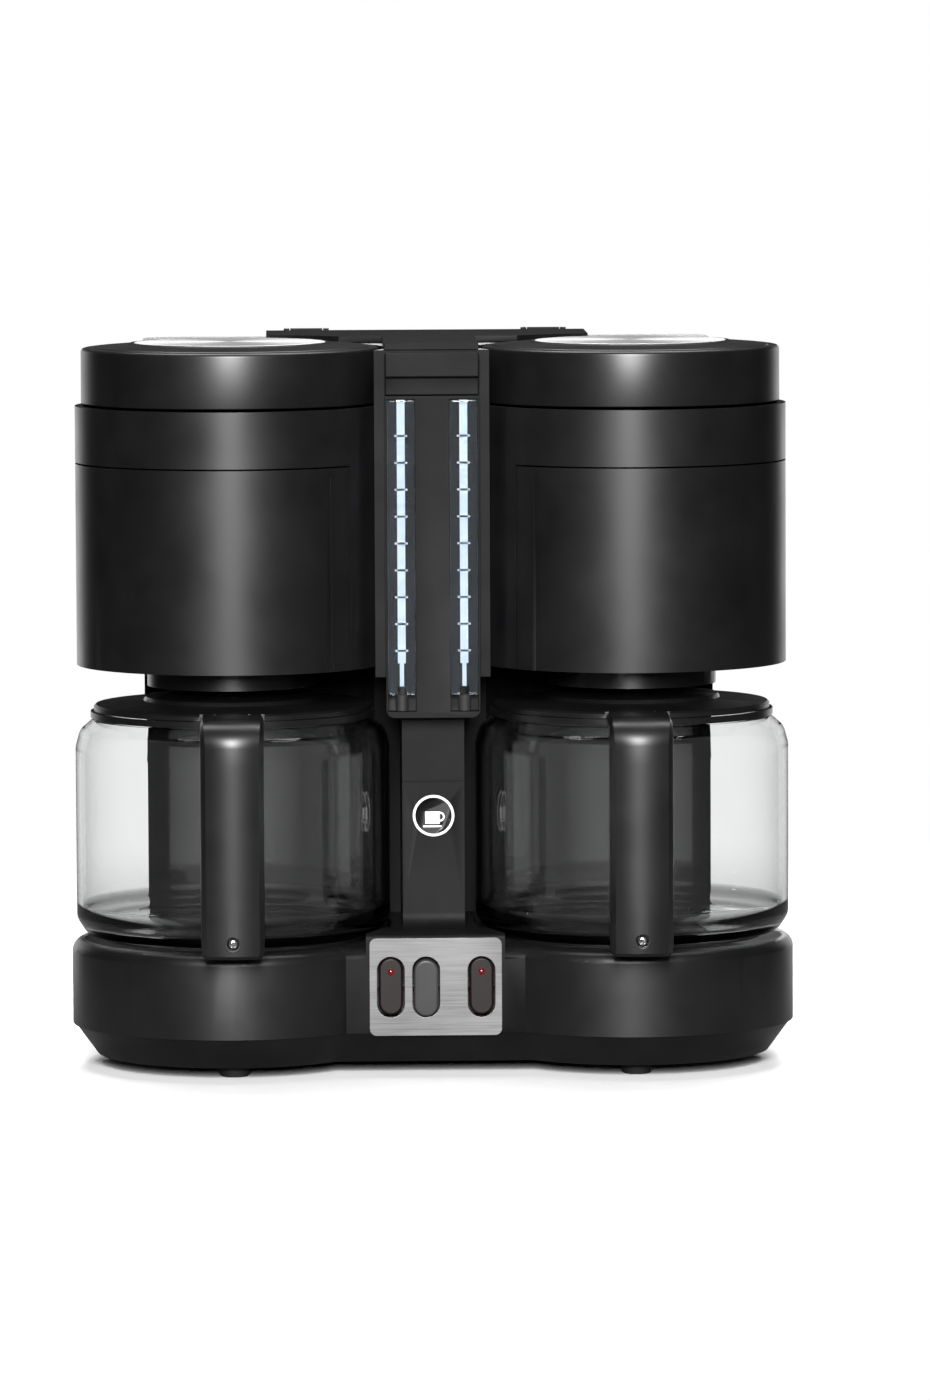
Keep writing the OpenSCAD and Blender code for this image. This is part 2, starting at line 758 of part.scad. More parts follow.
module filter_holder(side) {
  hinge = outward(side, hinge_r, hinge_angle);
  color(black) unit(side) difference() {
    union() {
      door_sector(side, body_r - holder_wall, body_r, holder_z, holder_top);
      door_sector(side, 10, body_r - 1, holder_z, holder_z + floor_t);
      disc(floor_r, holder_z, holder_z + floor_t);
      ring(cup_r + 3, cup_r, holder_z + 1, basket_top);
      disc(neck_r, neck_z, holder_z + 1);
      translate([hinge[0], hinge[1], 0]) disc(barrel_r, holder_z + 4.4, holder_top - 1);
      door_sector(side, body_r - 12, body_r - 2, holder_z + 12, holder_z + 30);
    }
    // Bore for the hinge pin, and room around the lug under it
    translate([hinge[0], hinge[1], 0]) {
      disc(hinge_pin_r + pin_fit, holder_z, band_z);
      disc(barrel_r + 3.2, holder_z - 1, holder_z + 4.4);
    }
    // Line along the grip at the door's free edge
    translate([0, 0, holder_z - 1]) linear_extrude(holder_h - 4) intersection() {
      wedge(side, -grip_line - 0.35, -grip_line + 0.35);
      difference() {
        circle(r = body_r + 1);
        circle(r = body_r - 0.6);
      }
    }
    // Outlet: room for the spring and the way through for the drip valve
    disc(neck_r - 3, neck_z - 1, holder_z - 2);
    disc(valve_bore, holder_z - 3, holder_z + floor_t + 1);
  }
}

basket_z = holder_z + floor_t + 8;
basket_top = band_z - 12;

// Cone that holds the paper filter, hung by its rim on the holder's cup
module filter_basket(side) {
  low = 22;
  color([0.1, 0.1, 0.1]) unit(side) rotate_extrude() difference() {
    polygon([[low, basket_z], [basket_r - 1, basket_top], [basket_r + 4, basket_top],
      [basket_r + 4, basket_top + 2], [0, basket_top + 2], [0, basket_z]]);
    polygon([[low - 2, basket_z + 2], [basket_r - 3.5, basket_top + 3], [-1, basket_top + 3], [-1, basket_z + 2]]);
    translate([-1, basket_z - 1]) square([5, 6]);
  }
}

valve_r = 4;
valve_tip_z = lid_top_z + 0.4;

// Drip valve, drawn lifted by the jug's lid
module drip_valve(side) {
  color([0.15, 0.15, 0.15]) unit(side) {
    disc(valve_r, valve_tip_z, holder_z + floor_t + valve_lift + 1);
    disc(7.5, valve_tip_z + 0.8, valve_tip_z + 1.8);
    disc(6.4, holder_z + floor_t + valve_lift + 0.4, holder_z + floor_t + valve_lift + 2);
  }
}

spring_r = 5.6;
spring_wire = 0.5;
spring_turns = 4;
spring_steps = 18;
spring_sides = 6;

// Coil that presses the valve down, swept along a helix
module valve_spring(side) {
  bottom = valve_tip_z + 1.8 + spring_wire + 0.1;
  rise = holder_z - 2 - spring_wire - 0.1 - bottom;
  rings = spring_turns * spring_steps;
  points = [for (i = [0:rings]) for (j = [0:spring_sides - 1])
    let (a = 360 * i / spring_steps, b = 360 * j / spring_sides, r = spring_r + spring_wire * cos(b))
      [r * cos(a), r * sin(a), bottom + rise * i / rings + spring_wire * sin(b)]];
  sides = [for (i = [0:rings - 1]) for (j = [0:spring_sides - 1])
    let (k = (j + 1) % spring_sides, a = i * spring_sides, b = a + spring_sides)
      [a + j, b + j, b + k, a + k]];
  last = rings * spring_sides;
  ends = [[for (j = [0:spring_sides - 1]) j], [for (j = [spring_sides - 1:-1:0]) last + j]];
  color(steel) unit(side) polyhedron(points, concat(sides, ends), convexity = 8);
}

module holder_pins() {
  color(steel) for (s = [-1, 1]) {
    hinge = outward(s, hinge_r, hinge_angle);
    unit(s) translate([hinge[0], hinge[1], 0]) disc(hinge_pin_r, head_z + 0.3, band_z + roof_t - 0.6);
  }
}

// ---------------------------------------------------------------- jugs

heel = 8;
shoulder_h = 17;
lid_r = jug_neck_r + 1;
drum_r = 43;

function glass_outer(d) = concat(
  arc(jug_r - heel, plate_top + heel, heel - d, -90, 0),
  [for (i = [0:8]) let (a = 90 * i / 8)
    [jug_neck_r - d + (jug_r - jug_neck_r) * cos(a), glass_top - shoulder_h - 3 + shoulder_h * sin(a)]]);

module jug_glass(side) {
  color([0.85, 0.9, 0.92, 0.35]) unit(side) rotate_extrude() difference() {
    polygon(concat([[0, plate_top + 0.1]], [for (p = glass_outer(0)) [p[0], max(p[1], plate_top + 0.1)]],
      [[jug_neck_r, glass_top], [0, glass_top]]));
    polygon(concat([[-1, plate_top + glass_floor]],
      [for (p = glass_outer(glass_t)) [p[0], max(p[1], plate_top + glass_floor)]],
      [[jug_neck_r - glass_t, glass_top + 1], [-1, glass_top + 1]]));
  }
}

module jug_lid(side) {
  color(black) unit(side) difference() {
    union() {
      jug_lid_cap();
      slab(-tongue_half, tongue_half, -pin_y - 3, -lid_r + 6, lid_seat, lid_seat + tongue_t);
    }
    translate([0, -pin_y, pin_z]) rotate([0, 90, 0]) cylinder(r = lid_pin + pin_fit, h = 60, center = true);
  }
}

module jug_lid_cap() {
  difference() {
    rotate_extrude() polygon([[0, lid_seat], [jug_neck_r - glass_t - 2, lid_seat], [lid_r, lid_seat],
      [lid_r, lid_seat + lid_rim_h - 1], [lid_r - 1, lid_seat + lid_rim_h],
      [drum_r, lid_seat + lid_rim_h + 1.8], [drum_r - 1, lid_seat + lid_rim_h + 3.6], [8, lid_top_z], [0, lid_top_z]]);
    disc(drum_r - 3, lid_seat - 1, lid_seat + 3);
    for (a = [0:60:300]) rotate([0, 0, a]) translate([14, 0, 0]) disc(1.5, lid_seat, lid_top_z + 1);
    // Room for the hinge ears of the handle
    slab(-handle_w / 2 - 0.5, handle_w / 2 + 0.5, -lid_r - 5, -lid_r + 3, lid_seat - 1, lid_top_z);
  }
}

tongue_half = 8;
tongue_t = 3.4;
pin_y = jug_neck_r + 6;
pin_z = lid_seat + tongue_t / 2;
lid_pin = 1;

module jug_collar(side) {
  color(black) unit(side) ring(jug_neck_r + 2.6, jug_neck_r + 0.2, glass_top - 2.8, glass_top + 0.3);
}

handle_top = lid_seat + 4;
handle_low = plate_top + 0.6;
screw_z = plate_top + 8;

// Side view of a handle: cap, grip and the lower foot that reaches the glass
module handle_profile(inset) {
  front = handle_reach - inset;
  back = handle_reach - grip_t + inset;
  polygon(concat(
    [[-jug_neck_r - 3, glass_top + 0.5 + inset], [-jug_neck_r - 3, handle_top - inset]],
    [for (p = arc(-front + 8, handle_top - 8 - inset, 8, 90, 180)) p],
    [[-front, handle_low + inset], [-back, handle_low + inset], [-back, glass_top - 10], [-back + 8, glass_top + 0.5 + inset]]));
}

module jug_handle(side) {
  color(black) unit(side) difference() {
    union() {
      translate([-handle_w / 2, 0, 0]) rotate([90, 0, 90]) linear_extrude(handle_w) handle_profile(0);
      slab(-handle_w / 2 + 4, handle_w / 2 - 4, -handle_reach + grip_t - 1, -jug_r - 0.2, screw_z - 5, screw_z + 5);
    }
    // Slot for the lid's tongue, with the holes for its pin
    slab(-tongue_half - 0.4, tongue_half + 0.4, -pin_y - 4, -60, lid_seat - 0.5, handle_top + 1);
    translate([0, -pin_y, pin_z]) rotate([0, 90, 0]) cylinder(r = lid_pin + 0.02, h = handle_w - 4, center = true);
    // Hollow back of the grip
    slab(-handle_w / 2 + 3, handle_w / 2 - 3, -handle_reach + 5, -handle_reach + grip_t + 1, plate_top + 18,
      glass_top - 14);
    translate([0, -handle_reach - 1, screw_z]) rotate([-90, 0, 0]) cylinder(r = 3.5, h = 4);
    translate([0, -handle_reach - 1, screw_z]) rotate([-90, 0, 0]) cylinder(r = 1.6, h = 32);
    disc(jug_r + 0.2, plate_top, glass_top - 20);
  }
}

module handle_screw(side) {
  color(steel) unit(side) translate([0, -handle_reach + 3, screw_z]) rotate([-90, 0, 0]) {
    cylinder(r = 1.5, h = 24);
    translate([0, 0, -1.5]) cylinder(r = 3.2, h = 1.5);
  }
}

module jug_lid_pin(side) {
  color(steel) unit(side) translate([0, -pin_y, pin_z]) rotate([0, 90, 0])
    cylinder(r = lid_pin, h = handle_w - 4, center = true);
}

// ---------------------------------------------------------------- switches

panel_y = -flat_front;

module switch_plate() {
  r = 3.4;
  color(steel) at_axes() difference() {
    translate([0, panel_y - 0.1, panel_z]) rotate([90, 0, 0]) linear_extrude(panel_t) {
      square([panel_w - 2 * r, panel_h], center = true);
      square([panel_w, panel_h - 2 * r], center = true);
      for (x = [-1, 1]) for (y = [-1, 1]) translate([x * (panel_w / 2 - r), y * (panel_h / 2 - r)]) circle(r = r);
    }
    translate([0, panel_y - 3, 0]) switch_holes(0, 6);
  }
}

rocker_front = 7.7;
rocker_rear = 2.5;
pivot_y = panel_y - panel_t - 0.1 - 1.5 + rocker_front;
rests = [-1, 1, -1];

// A rocker at its resting tilt, turned about the pin behind it
module rocker(i) {
  color([0.09, 0.09, 0.1]) at_axes() translate([rocker_x[i], pivot_y, panel_z])
    rotate([rests[i] * rocker_tilt, 0, 0]) difference() {
      translate([0, rocker_rear, 0]) rotate([90, 0, 0]) linear_extrude(rocker_front + rocker_rear)
        stadium(rocker_w, rocker_h);
      rotate([0, 90, 0]) cylinder(r = rocker_pin_r + pin_fit, h = rocker_w + 2, center = true);
      if (i != 1) lamp_seat(0.1);
    }
}

module lamp_seat(grow) {
  translate([0, -rocker_front + 2, rocker_h / 4]) rotate([90, 0, 0]) cylinder(r = 2 + grow, h = 2.2);
}

module lamp(i) {
  color([0.6, 0.03, 0.03]) at_axes() translate([rocker_x[i], pivot_y, panel_z])
    rotate([rests[i] * rocker_tilt, 0, 0]) lamp_seat(0);
}

cheek = 1.4;

module rocker_pins() {
  color(steel) at_axes() for (x = rocker_x) translate([x, pivot_y, panel_z]) rotate([0, 90, 0])
    cylinder(r = rocker_pin_r, h = rocker_w + 2 * rocker_gap + 2 * cheek, center = true);
}

// Switch boxes behind the panel, with side cheeks that carry the rockers' pins
module switch_bodies() {
  w = rocker_w + 2 * rocker_gap;
  h = rocker_h + 2 * rocker_gap;
  color([0.12, 0.12, 0.12]) at_axes() for (x = rocker_x) translate([x, 0, panel_z]) difference() {
    slab(-w / 2 - cheek, w / 2 + cheek, panel_y + wall + 0.1, panel_y + 18, -h / 2 - 0.4, h / 2 + 0.4);
    slab(-w / 2, w / 2, panel_y, panel_y + 12, -h / 2, h / 2);
    translate([0, pivot_y, 0]) rotate([0, 90, 0]) cylinder(r = rocker_pin_r + 0.02, h = 30, center = true);
  }
}

gland_x = 70;
gland_z = seam_z + 14;

module gland_hole() {
  translate([gland_x, back_reach + 1, gland_z]) rotate([90, 0, 0]) cylinder(r = 5.5, h = 8);
}

// Gland at the back for a supply cord
module cord_gland() {
  color([0.07, 0.07, 0.07]) at_axes() translate([gland_x, back_reach - 0.2, gland_z]) rotate([90, 0, 0])
    difference() {
      cylinder(r = 5.3, h = 6);
      translate([0, 0, -1]) cylinder(r = 3.4, h = 9);
    }
}

base_housing();
base_plate();
feet();
base_screws();
hot_plate(-1);  // hot_plate_left
hot_plate(1);  // hot_plate_right
plate_seals();
heating_elements();
thermostats();
tower();
column();
back_cover();
back_screws();
badge();
water_tank(-1);  // water_tank_left
water_tank(1);  // water_tank_right
sight_tubes();
gauge_strips();
gauge_elbows();
gauge_frame();
top_block();
tank_lid();
tank_lid_pins();
brew_head(-1);  // brew_head_left
brew_head(1);  // brew_head_right
head_cover(-1);  // head_cover_left
head_cover(1);  // head_cover_right
cover_discs();
spray_heads();
riser_tubes();
filter_holder(-1);  // filter_holder_left
filter_holder(1);  // filter_holder_right
filter_basket(-1);  // filter_basket_left
filter_basket(1);  // filter_basket_right
drip_valve(-1);  // drip_valve_left
drip_valve(1);  // drip_valve_right
valve_spring(-1);  // valve_spring_left
valve_spring(1);  // valve_spring_right
holder_pins();
jug_glass(-1);  // jug_glass_left
jug_glass(1);  // jug_glass_right
jug_lid(-1);  // jug_lid_left
jug_lid(1);  // jug_lid_right
jug_collar(-1);  // jug_collar_left
jug_collar(1);  // jug_collar_right
jug_handle(-1);  // jug_handle_left
jug_handle(1);  // jug_handle_right
handle_screw(-1);  // handle_screw_left
handle_screw(1);  // handle_screw_right
jug_lid_pin(-1);  // jug_lid_pin_left
jug_lid_pin(1);  // jug_lid_pin_right
switch_plate();
rocker(0);  // rocker_left
rocker(1);  // rocker_middle
rocker(2);  // rocker_right
switch_bodies();
lamp(0);  // lamp_left
lamp(2);  // lamp_right
rocker_pins();
cord_gland();
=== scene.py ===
# %% [markdown]
# # A twin filter coffee brewer
# Two brewing units stand on one base, each with a round head, a swing-out filter holder and a glass
# jug. The CAD model already fixes every size and every joint. This notebook gives it its looks: turned
# glass, moulded black plastic with rounded edges, brushed metal, light and a camera. The first cell
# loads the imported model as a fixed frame. Everything that follows takes its place from it.

import json
import math

import bmesh
import bpy
from mathutils import Matrix, Vector


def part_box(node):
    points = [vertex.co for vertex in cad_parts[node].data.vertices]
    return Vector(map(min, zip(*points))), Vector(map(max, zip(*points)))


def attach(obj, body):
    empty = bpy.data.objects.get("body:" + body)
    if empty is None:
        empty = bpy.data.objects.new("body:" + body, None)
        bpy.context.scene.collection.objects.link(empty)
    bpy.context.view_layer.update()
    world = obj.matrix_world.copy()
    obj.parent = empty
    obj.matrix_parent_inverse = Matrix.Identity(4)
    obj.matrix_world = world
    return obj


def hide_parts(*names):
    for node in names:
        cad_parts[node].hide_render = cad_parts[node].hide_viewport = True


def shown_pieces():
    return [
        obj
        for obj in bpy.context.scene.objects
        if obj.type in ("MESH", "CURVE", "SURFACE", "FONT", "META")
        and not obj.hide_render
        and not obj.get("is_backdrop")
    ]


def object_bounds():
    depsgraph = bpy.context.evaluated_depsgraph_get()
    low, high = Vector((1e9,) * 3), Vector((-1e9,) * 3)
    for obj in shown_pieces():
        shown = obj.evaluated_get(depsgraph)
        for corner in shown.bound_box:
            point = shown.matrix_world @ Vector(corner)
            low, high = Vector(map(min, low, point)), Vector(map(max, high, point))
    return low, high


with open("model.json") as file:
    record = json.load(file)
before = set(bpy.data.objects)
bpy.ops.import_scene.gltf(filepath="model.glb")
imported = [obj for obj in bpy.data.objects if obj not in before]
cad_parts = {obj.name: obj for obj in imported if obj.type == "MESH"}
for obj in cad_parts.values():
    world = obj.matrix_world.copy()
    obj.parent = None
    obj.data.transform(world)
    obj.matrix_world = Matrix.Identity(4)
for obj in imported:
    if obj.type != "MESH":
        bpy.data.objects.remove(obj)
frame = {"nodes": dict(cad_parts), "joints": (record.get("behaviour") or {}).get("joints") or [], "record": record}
cad_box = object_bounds()
cad = frame["nodes"]
body_for = {n: b for b, names in frame["record"]["behaviour"]["bodies"].items() for n in names}
mm = 0.001

# %% [markdown]
# ## Light and camera
# A black glossy object is drawn by what it mirrors, so the studio is planned like a set of reflections.
# A tall soft light stands behind the camera and gives every round body one vertical highlight in its
# middle. Two low strips far behind the object draw the bright rims along the outer silhouettes, a light
# overhead brings up the brushed discs, and one high behind shows the rear. The world looks white to the
# camera and through glass, but lights very little: that keeps the plastic black in front of a white
# ground. A sun or an HDR picture would be quicker, but would put highlights in places that nobody
# chose.

# %% The scene and two helpers for node trees
scene = bpy.context.scene
scene.view_settings.view_transform = "Standard"
scene.view_settings.look = "None"


def link(tree, start, end):
    """Joins two sockets of a node tree."""
    tree.links.new(start, end)


def add(tree, kind, operation=None, **inputs):
    """A new node, with the plain values of its inputs, whose names have underscores for spaces."""
    new_node = tree.nodes.new(kind)
    if operation:
        new_node.operation = operation
    for label, value in inputs.items():
        new_node.inputs[label.replace("_", " ")].default_value = value
    return new_node


print("view transform:", scene.view_settings.view_transform)

# %% [markdown]
# The sky is one plain white, but how bright it is depends on the ray that asks. The camera sees it
# white, glass sees it white behind and greyer at the sides, which draws the outline of a jug, and for
# the rest it is nearly dark. On a real set, black flags beside the glass do the same.

# %% The sky


def studio_sky(seen=1.0, light=0.035, through_sides=0.45):
    """A sky that looks white, is greyer when seen sideways through glass, and lights very little."""
    world = bpy.data.worlds.new("studio_sky")
    world.use_nodes = True
    tree = world.node_tree
    ground = tree.nodes["Background"]
    ground.inputs["Color"].default_value = (1, 1, 1, 1)
    path = add(tree, "ShaderNodeLightPath")
    way = add(tree, "ShaderNodeTexCoord")
    split = add(tree, "ShaderNodeSeparateXYZ")
    along = add(tree, "ShaderNodeMath", "ABSOLUTE")
    sideways = add(tree, "ShaderNodeMapRange", From_Min=0.6, From_Max=0.9, To_Min=through_sides)
    through = add(tree, "ShaderNodeMath", "MULTIPLY")
    either = add(tree, "ShaderNodeMath", "MAXIMUM")
    strength = add(tree, "ShaderNodeMapRange", To_Min=light, To_Max=seen)
    link(tree, way.outputs["Generated"], split.inputs[0])
    link(tree, split.outputs["Y"], along.inputs[0])
    link(tree, along.outputs[0], sideways.inputs["Value"])
    link(tree, path.outputs["Is Transmission Ray"], through.inputs[0])
    link(tree, sideways.outputs["Result"], through.inputs[1])
    link(tree, path.outputs["Is Camera Ray"], either.inputs[0])
    link(tree, through.outputs[0], either.inputs[1])
    link(tree, either.outputs[0], strength.inputs["Value"])
    link(tree, strength.outputs["Result"], ground.inputs["Strength"])
    scene.world = world
    print("world shows", seen, "and lights with", light)


studio_sky()

# %% [markdown]
# The soft lights are rectangles of light that face the object, as a studio's softboxes do. Point lights
# would be simpler, but a gloss shows the shape of its light, and a point would leave a hard white spot.

# %% Soft lights


def softbox(name, place, target, width, height, power):
    """A rectangular light at place that faces target. It isn't seen by the camera itself."""
    data = bpy.data.lights.new(name, "AREA")
    data.shape = "RECTANGLE"
    data.size, data.size_y, data.energy = width, height, power
    lamp = bpy.data.objects.new(name, data)
    scene.collection.objects.link(lamp)
    lamp.location = place
    lamp.rotation_euler = (Vector(target) - Vector(place)).to_track_quat("-Z", "Y").to_euler()
    lamp.visible_camera = False
    print(name, "at", place, "with", power, "W")
    return lamp


softbox("middle_highlight", (-0.1, -4.1, 1.55), (0, 0, 0.18), 0.75, 1.7, 400)
softbox("overhead", (0, 0.35, 1.7), (0, 0, 0.2), 1.5, 1.1, 34)
softbox("behind", (0.5, 3.4, 2.3), (0, 0, 0.2), 1.8, 1.4, 170)
for side, rim_x in (("left", -1.0), ("right", 1.0)):
    softbox("rim_" + side, (rim_x, 2.1, 0.1), (0, 0, 0.15), 1.1, 1.3, 6.5)

# %% [markdown]
# The floor is a pale disc that fades out at its rim, so no horizon line cuts behind the object. A large
# white floor would also mirror itself in every upright black face and turn it grey, so the floor is
# darker to mirrored light than it is to the camera.

# %% A pale floor


def fading_floor(radius=1.1, shown=0.93, mirrored=0.16):
    """A round floor, pale to the camera and dim in reflections, that fades towards its rim."""
    mat = bpy.data.materials.new("pale_floor")
    mat.use_nodes = True
    tree = mat.node_tree
    paint = tree.nodes["Principled BSDF"]
    paint.inputs["Roughness"].default_value = 0.9
    paint.inputs["Specular IOR Level"].default_value = 0.0
    path = add(tree, "ShaderNodeLightPath")
    pale = tree.nodes.new("ShaderNodeMix")
    pale.data_type = "RGBA"
    pale.inputs["A"].default_value = (mirrored, mirrored, mirrored, 1)
    pale.inputs["B"].default_value = (shown, shown, shown, 1)
    coords = add(tree, "ShaderNodeTexCoord")
    length = add(tree, "ShaderNodeVectorMath", "LENGTH")
    fade = add(tree, "ShaderNodeMapRange", From_Min=radius * 0.15, From_Max=radius * 0.95)
    fade.interpolation_type = "SMOOTHSTEP"
    clear = add(tree, "ShaderNodeBsdfTransparent")
    mix = add(tree, "ShaderNodeMixShader")
    link(tree, path.outputs["Is Camera Ray"], pale.inputs["Factor"])
    link(tree, pale.outputs["Result"], paint.inputs["Base Color"])
    link(tree, coords.outputs["Object"], length.inputs[0])
    link(tree, length.outputs["Value"], fade.inputs["Value"])
    link(tree, fade.outputs["Result"], mix.inputs["Fac"])
    link(tree, paint.outputs[0], mix.inputs[1])
    link(tree, clear.outputs[0], mix.inputs[2])
    link(tree, mix.outputs[0], tree.nodes["Material Output"].inputs["Surface"])
    form = bmesh.new()
    bmesh.ops.create_circle(form, cap_ends=True, radius=radius, segments=96)
    mesh = bpy.data.meshes.new("floor")
    form.to_mesh(mesh)
    form.free()
    mesh.materials.append(mat)
    floor = bpy.data.objects.new("floor", mesh)
    scene.collection.objects.link(floor)
    floor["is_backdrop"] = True
    print("floor disc of", radius, "m")


fading_floor()

# %% [markdown]
# The camera stands almost four metres away with a long lens, a little above the object and a little to
# its left. Such a distance keeps the two jugs nearly free of perspective, as in a catalogue picture.

# %% The camera


def place_camera(place, yaw, pitch, roll, lens):
    """A camera at place, in metres, turned by three angles in radians, with a lens in millimetres."""
    level = math.cos(pitch)
    forward = Vector((math.sin(yaw) * level, math.cos(yaw) * level, -math.sin(pitch)))
    right = Vector((math.cos(yaw), -math.sin(yaw), 0))
    up = right.cross(forward)
    across = math.cos(roll) * right + math.sin(roll) * up
    upward = -math.sin(roll) * right + math.cos(roll) * up
    data = bpy.data.cameras.new("camera")
    data.sensor_width, data.lens, data.clip_end = 36, lens, 40
    camera = bpy.data.objects.new("camera", data)
    scene.collection.objects.link(camera)
    turn = Matrix((across, upward, -forward)).transposed()
    camera.matrix_world = Matrix.Translation(place) @ turn.to_4x4()
    scene.camera = camera
    print("camera", round(Vector(place).length, 2), "m away")


place_camera((-0.080, -3.852, 0.519), yaw=0.025, pitch=0.089, roll=-0.0047, lens=204.8)

# %% [markdown]
# ## Finishes
# A moulded part is never one flat colour: its skin has a fine grain from the tool, its gloss drifts a
# little from place to place, and a brushed sheet has scratches along one direction. All of this is
# noise on the object's own coordinates, so that it stays put when a part moves. The three helpers below
# give a noise, spread it over a range of roughness or colour, and turn it into relief. Painted pictures
# could do the same, but they would need unwrapping, and they blur close up.

# %% Plain values and noise


def blank(name, **settings):
    """A new finish with plain values on the shader's own sockets."""
    mat = bpy.data.materials.new(name)
    mat.use_nodes = True
    tree = mat.node_tree
    paint = tree.nodes["Principled BSDF"]
    for socket, value in settings.items():
        paint.inputs[socket.replace("_", " ")].default_value = value
    return mat, tree, paint


def grain(tree, scale, detail=3, stretch=(1, 1, 1)):
    """Noise on the piece's own coordinates, drawn out along an axis where stretch is small."""
    coords = add(tree, "ShaderNodeTexCoord")
    mapping = add(tree, "ShaderNodeMapping", Scale=stretch)
    noise = add(tree, "ShaderNodeTexNoise", Scale=scale, Detail=detail)
    link(tree, coords.outputs["Object"], mapping.inputs["Vector"])
    link(tree, mapping.outputs["Vector"], noise.inputs["Vector"])
    return noise.outputs["Fac"]


print("grain ready")

# %% [markdown]
# A noise runs from 0 to 1 and mostly stays near its middle. So the next helpers take the part from 0.3
# to 0.7 and spread that over the wanted range, of numbers or of colours, and the last one turns it into
# height.

# %% Spread, tints and relief


def spread(tree, value, low, high, start=0.3, end=0.7):
    """Maps a noise onto a range of numbers."""
    ranged = add(tree, "ShaderNodeMapRange", From_Min=start, From_Max=end, To_Min=low, To_Max=high)
    link(tree, value, ranged.inputs["Value"])
    return ranged.outputs["Result"]


def tints(tree, value, dark, light, start=0.3, end=0.7):
    """Maps a noise onto two colours."""
    ramp = tree.nodes.new("ShaderNodeValToRGB")
    ramp.color_ramp.elements[0].position, ramp.color_ramp.elements[1].position = start, end
    ramp.color_ramp.elements[0].color = (*dark, 1)
    ramp.color_ramp.elements[1].color = (*light, 1)
    link(tree, value, ramp.inputs["Fac"])
    return ramp.outputs["Color"]


def relief(tree, paint, height, depth, strength=1.0):
    """Lets a noise raise the skin by depth, in metres."""
    bump = add(tree, "ShaderNodeBump", Strength=strength, Distance=depth)
    link(tree, height, bump.inputs["Height"])
    link(tree, bump.outputs["Normal"], paint.inputs["Normal"])


print("spread, tints and relief ready")

# %% [markdown]
# Most of the brewer is black polypropylene or ABS from a spark-eroded tool. Its skin is satin: broad
# soft highlights, with a grain of about a third of a millimetre that is felt more than seen. Fine dust
# and handling make the gloss drift over some centimetres.

# %% Moulded plastics and rubber


def moulded(name, dark, light, gloss, texture=3200, depth=0.00001, mirror=0.45):
    """A moulded skin: two near colours, a range of roughness, and a fine grain depth metres high."""
    mat, tree, paint = blank(name, Specular_IOR_Level=mirror)
    link(tree, tints(tree, grain(tree, 45, 5), dark, light), paint.inputs["Base Color"])
    link(tree, spread(tree, grain(tree, 28, 6), *gloss), paint.inputs["Roughness"])
    relief(tree, paint, grain(tree, texture, 2), depth, 0.35)
    return mat


finishes = {}
for name, *recipe in (
    ("black_casing", (0.0035, 0.0035, 0.0037), (0.0062, 0.0062, 0.0065), (0.31, 0.38)),
    ("inner_plastic", (0.018, 0.018, 0.019), (0.03, 0.03, 0.032), (0.42, 0.55), 1500, 0.00002),
    ("soft_black", (0.010, 0.010, 0.010), (0.018, 0.018, 0.017), (0.62, 0.8), 1200, 0.00004),
    ("tube_silicone", (0.55, 0.55, 0.51), (0.68, 0.68, 0.63), (0.35, 0.5), 900),
    ("ceramic", (0.62, 0.59, 0.5), (0.76, 0.73, 0.64), (0.55, 0.7), 1100, 0.00003),
    # This white serves the printed gauge marks and the painted highlight strips behind them.
    ("scale_white", (0.74, 0.78, 0.84), (0.86, 0.89, 0.94), (0.3, 0.4), 1500, 0.000005),
    ("badge_white", (0.72, 0.72, 0.72), (0.85, 0.85, 0.85), (0.3, 0.42), 1500, 0.000005),
    ("centre_casing", (0.0035, 0.0035, 0.0037), (0.006, 0.006, 0.0062), (0.5, 0.6), 3200, 0.00001, 0.12),
    ("plain_key", (0.03, 0.03, 0.031), (0.04, 0.04, 0.041), (0.35, 0.42), 2600, 0.000006),
    ("smoked_key", (0.005, 0.0025, 0.0025), (0.009, 0.004, 0.004), (0.3, 0.38), 2600, 0.000004, 0.12),
):
    finishes[name] = moulded(name, *recipe)
print(len(finishes), "moulded finishes")

# %% [markdown]
# The discs and the switch plate are thin brushed steel. A belt draws its scratches along one direction,
# here left to right, so the noise is stretched sixtyfold along X. It works on colour, roughness and
# relief together, and a slow second noise makes the soft clouds that brushed metal shows. The gloss is
# anisotropic, which spreads the highlight into the fan that a spun disc shows. Screws, pins and the
# cast heater take the same recipe with a rounder noise. A picture of brushed metal would be quicker,
# but it repeats and blurs.

# %% Metals


def brushed(name, dark, light, gloss, depth=0.000006, along=(1, 60, 60), fine_share=0.55):
    """Metal whose scratches run where along is small, with slow clouds under them."""
    mat, tree, paint = blank(name, Metallic=1.0, Anisotropic=0.45)
    fine = grain(tree, 40, 6, along)
    slow = grain(tree, 26, 2)
    mixed = add(tree, "ShaderNodeMath", "MULTIPLY_ADD")
    mixed.inputs[1].default_value = fine_share
    link(tree, fine, mixed.inputs[0])
    clouds = add(tree, "ShaderNodeMath", "MULTIPLY")
    clouds.inputs[1].default_value = 1 - fine_share
    link(tree, slow, clouds.inputs[0])
    link(tree, clouds.outputs[0], mixed.inputs[2])
    link(tree, tints(tree, mixed.outputs[0], dark, light, 0.36, 0.62), paint.inputs["Base Color"])
    link(tree, spread(tree, fine, *gloss), paint.inputs["Roughness"])
    relief(tree, paint, fine, depth, 0.6)
    return mat


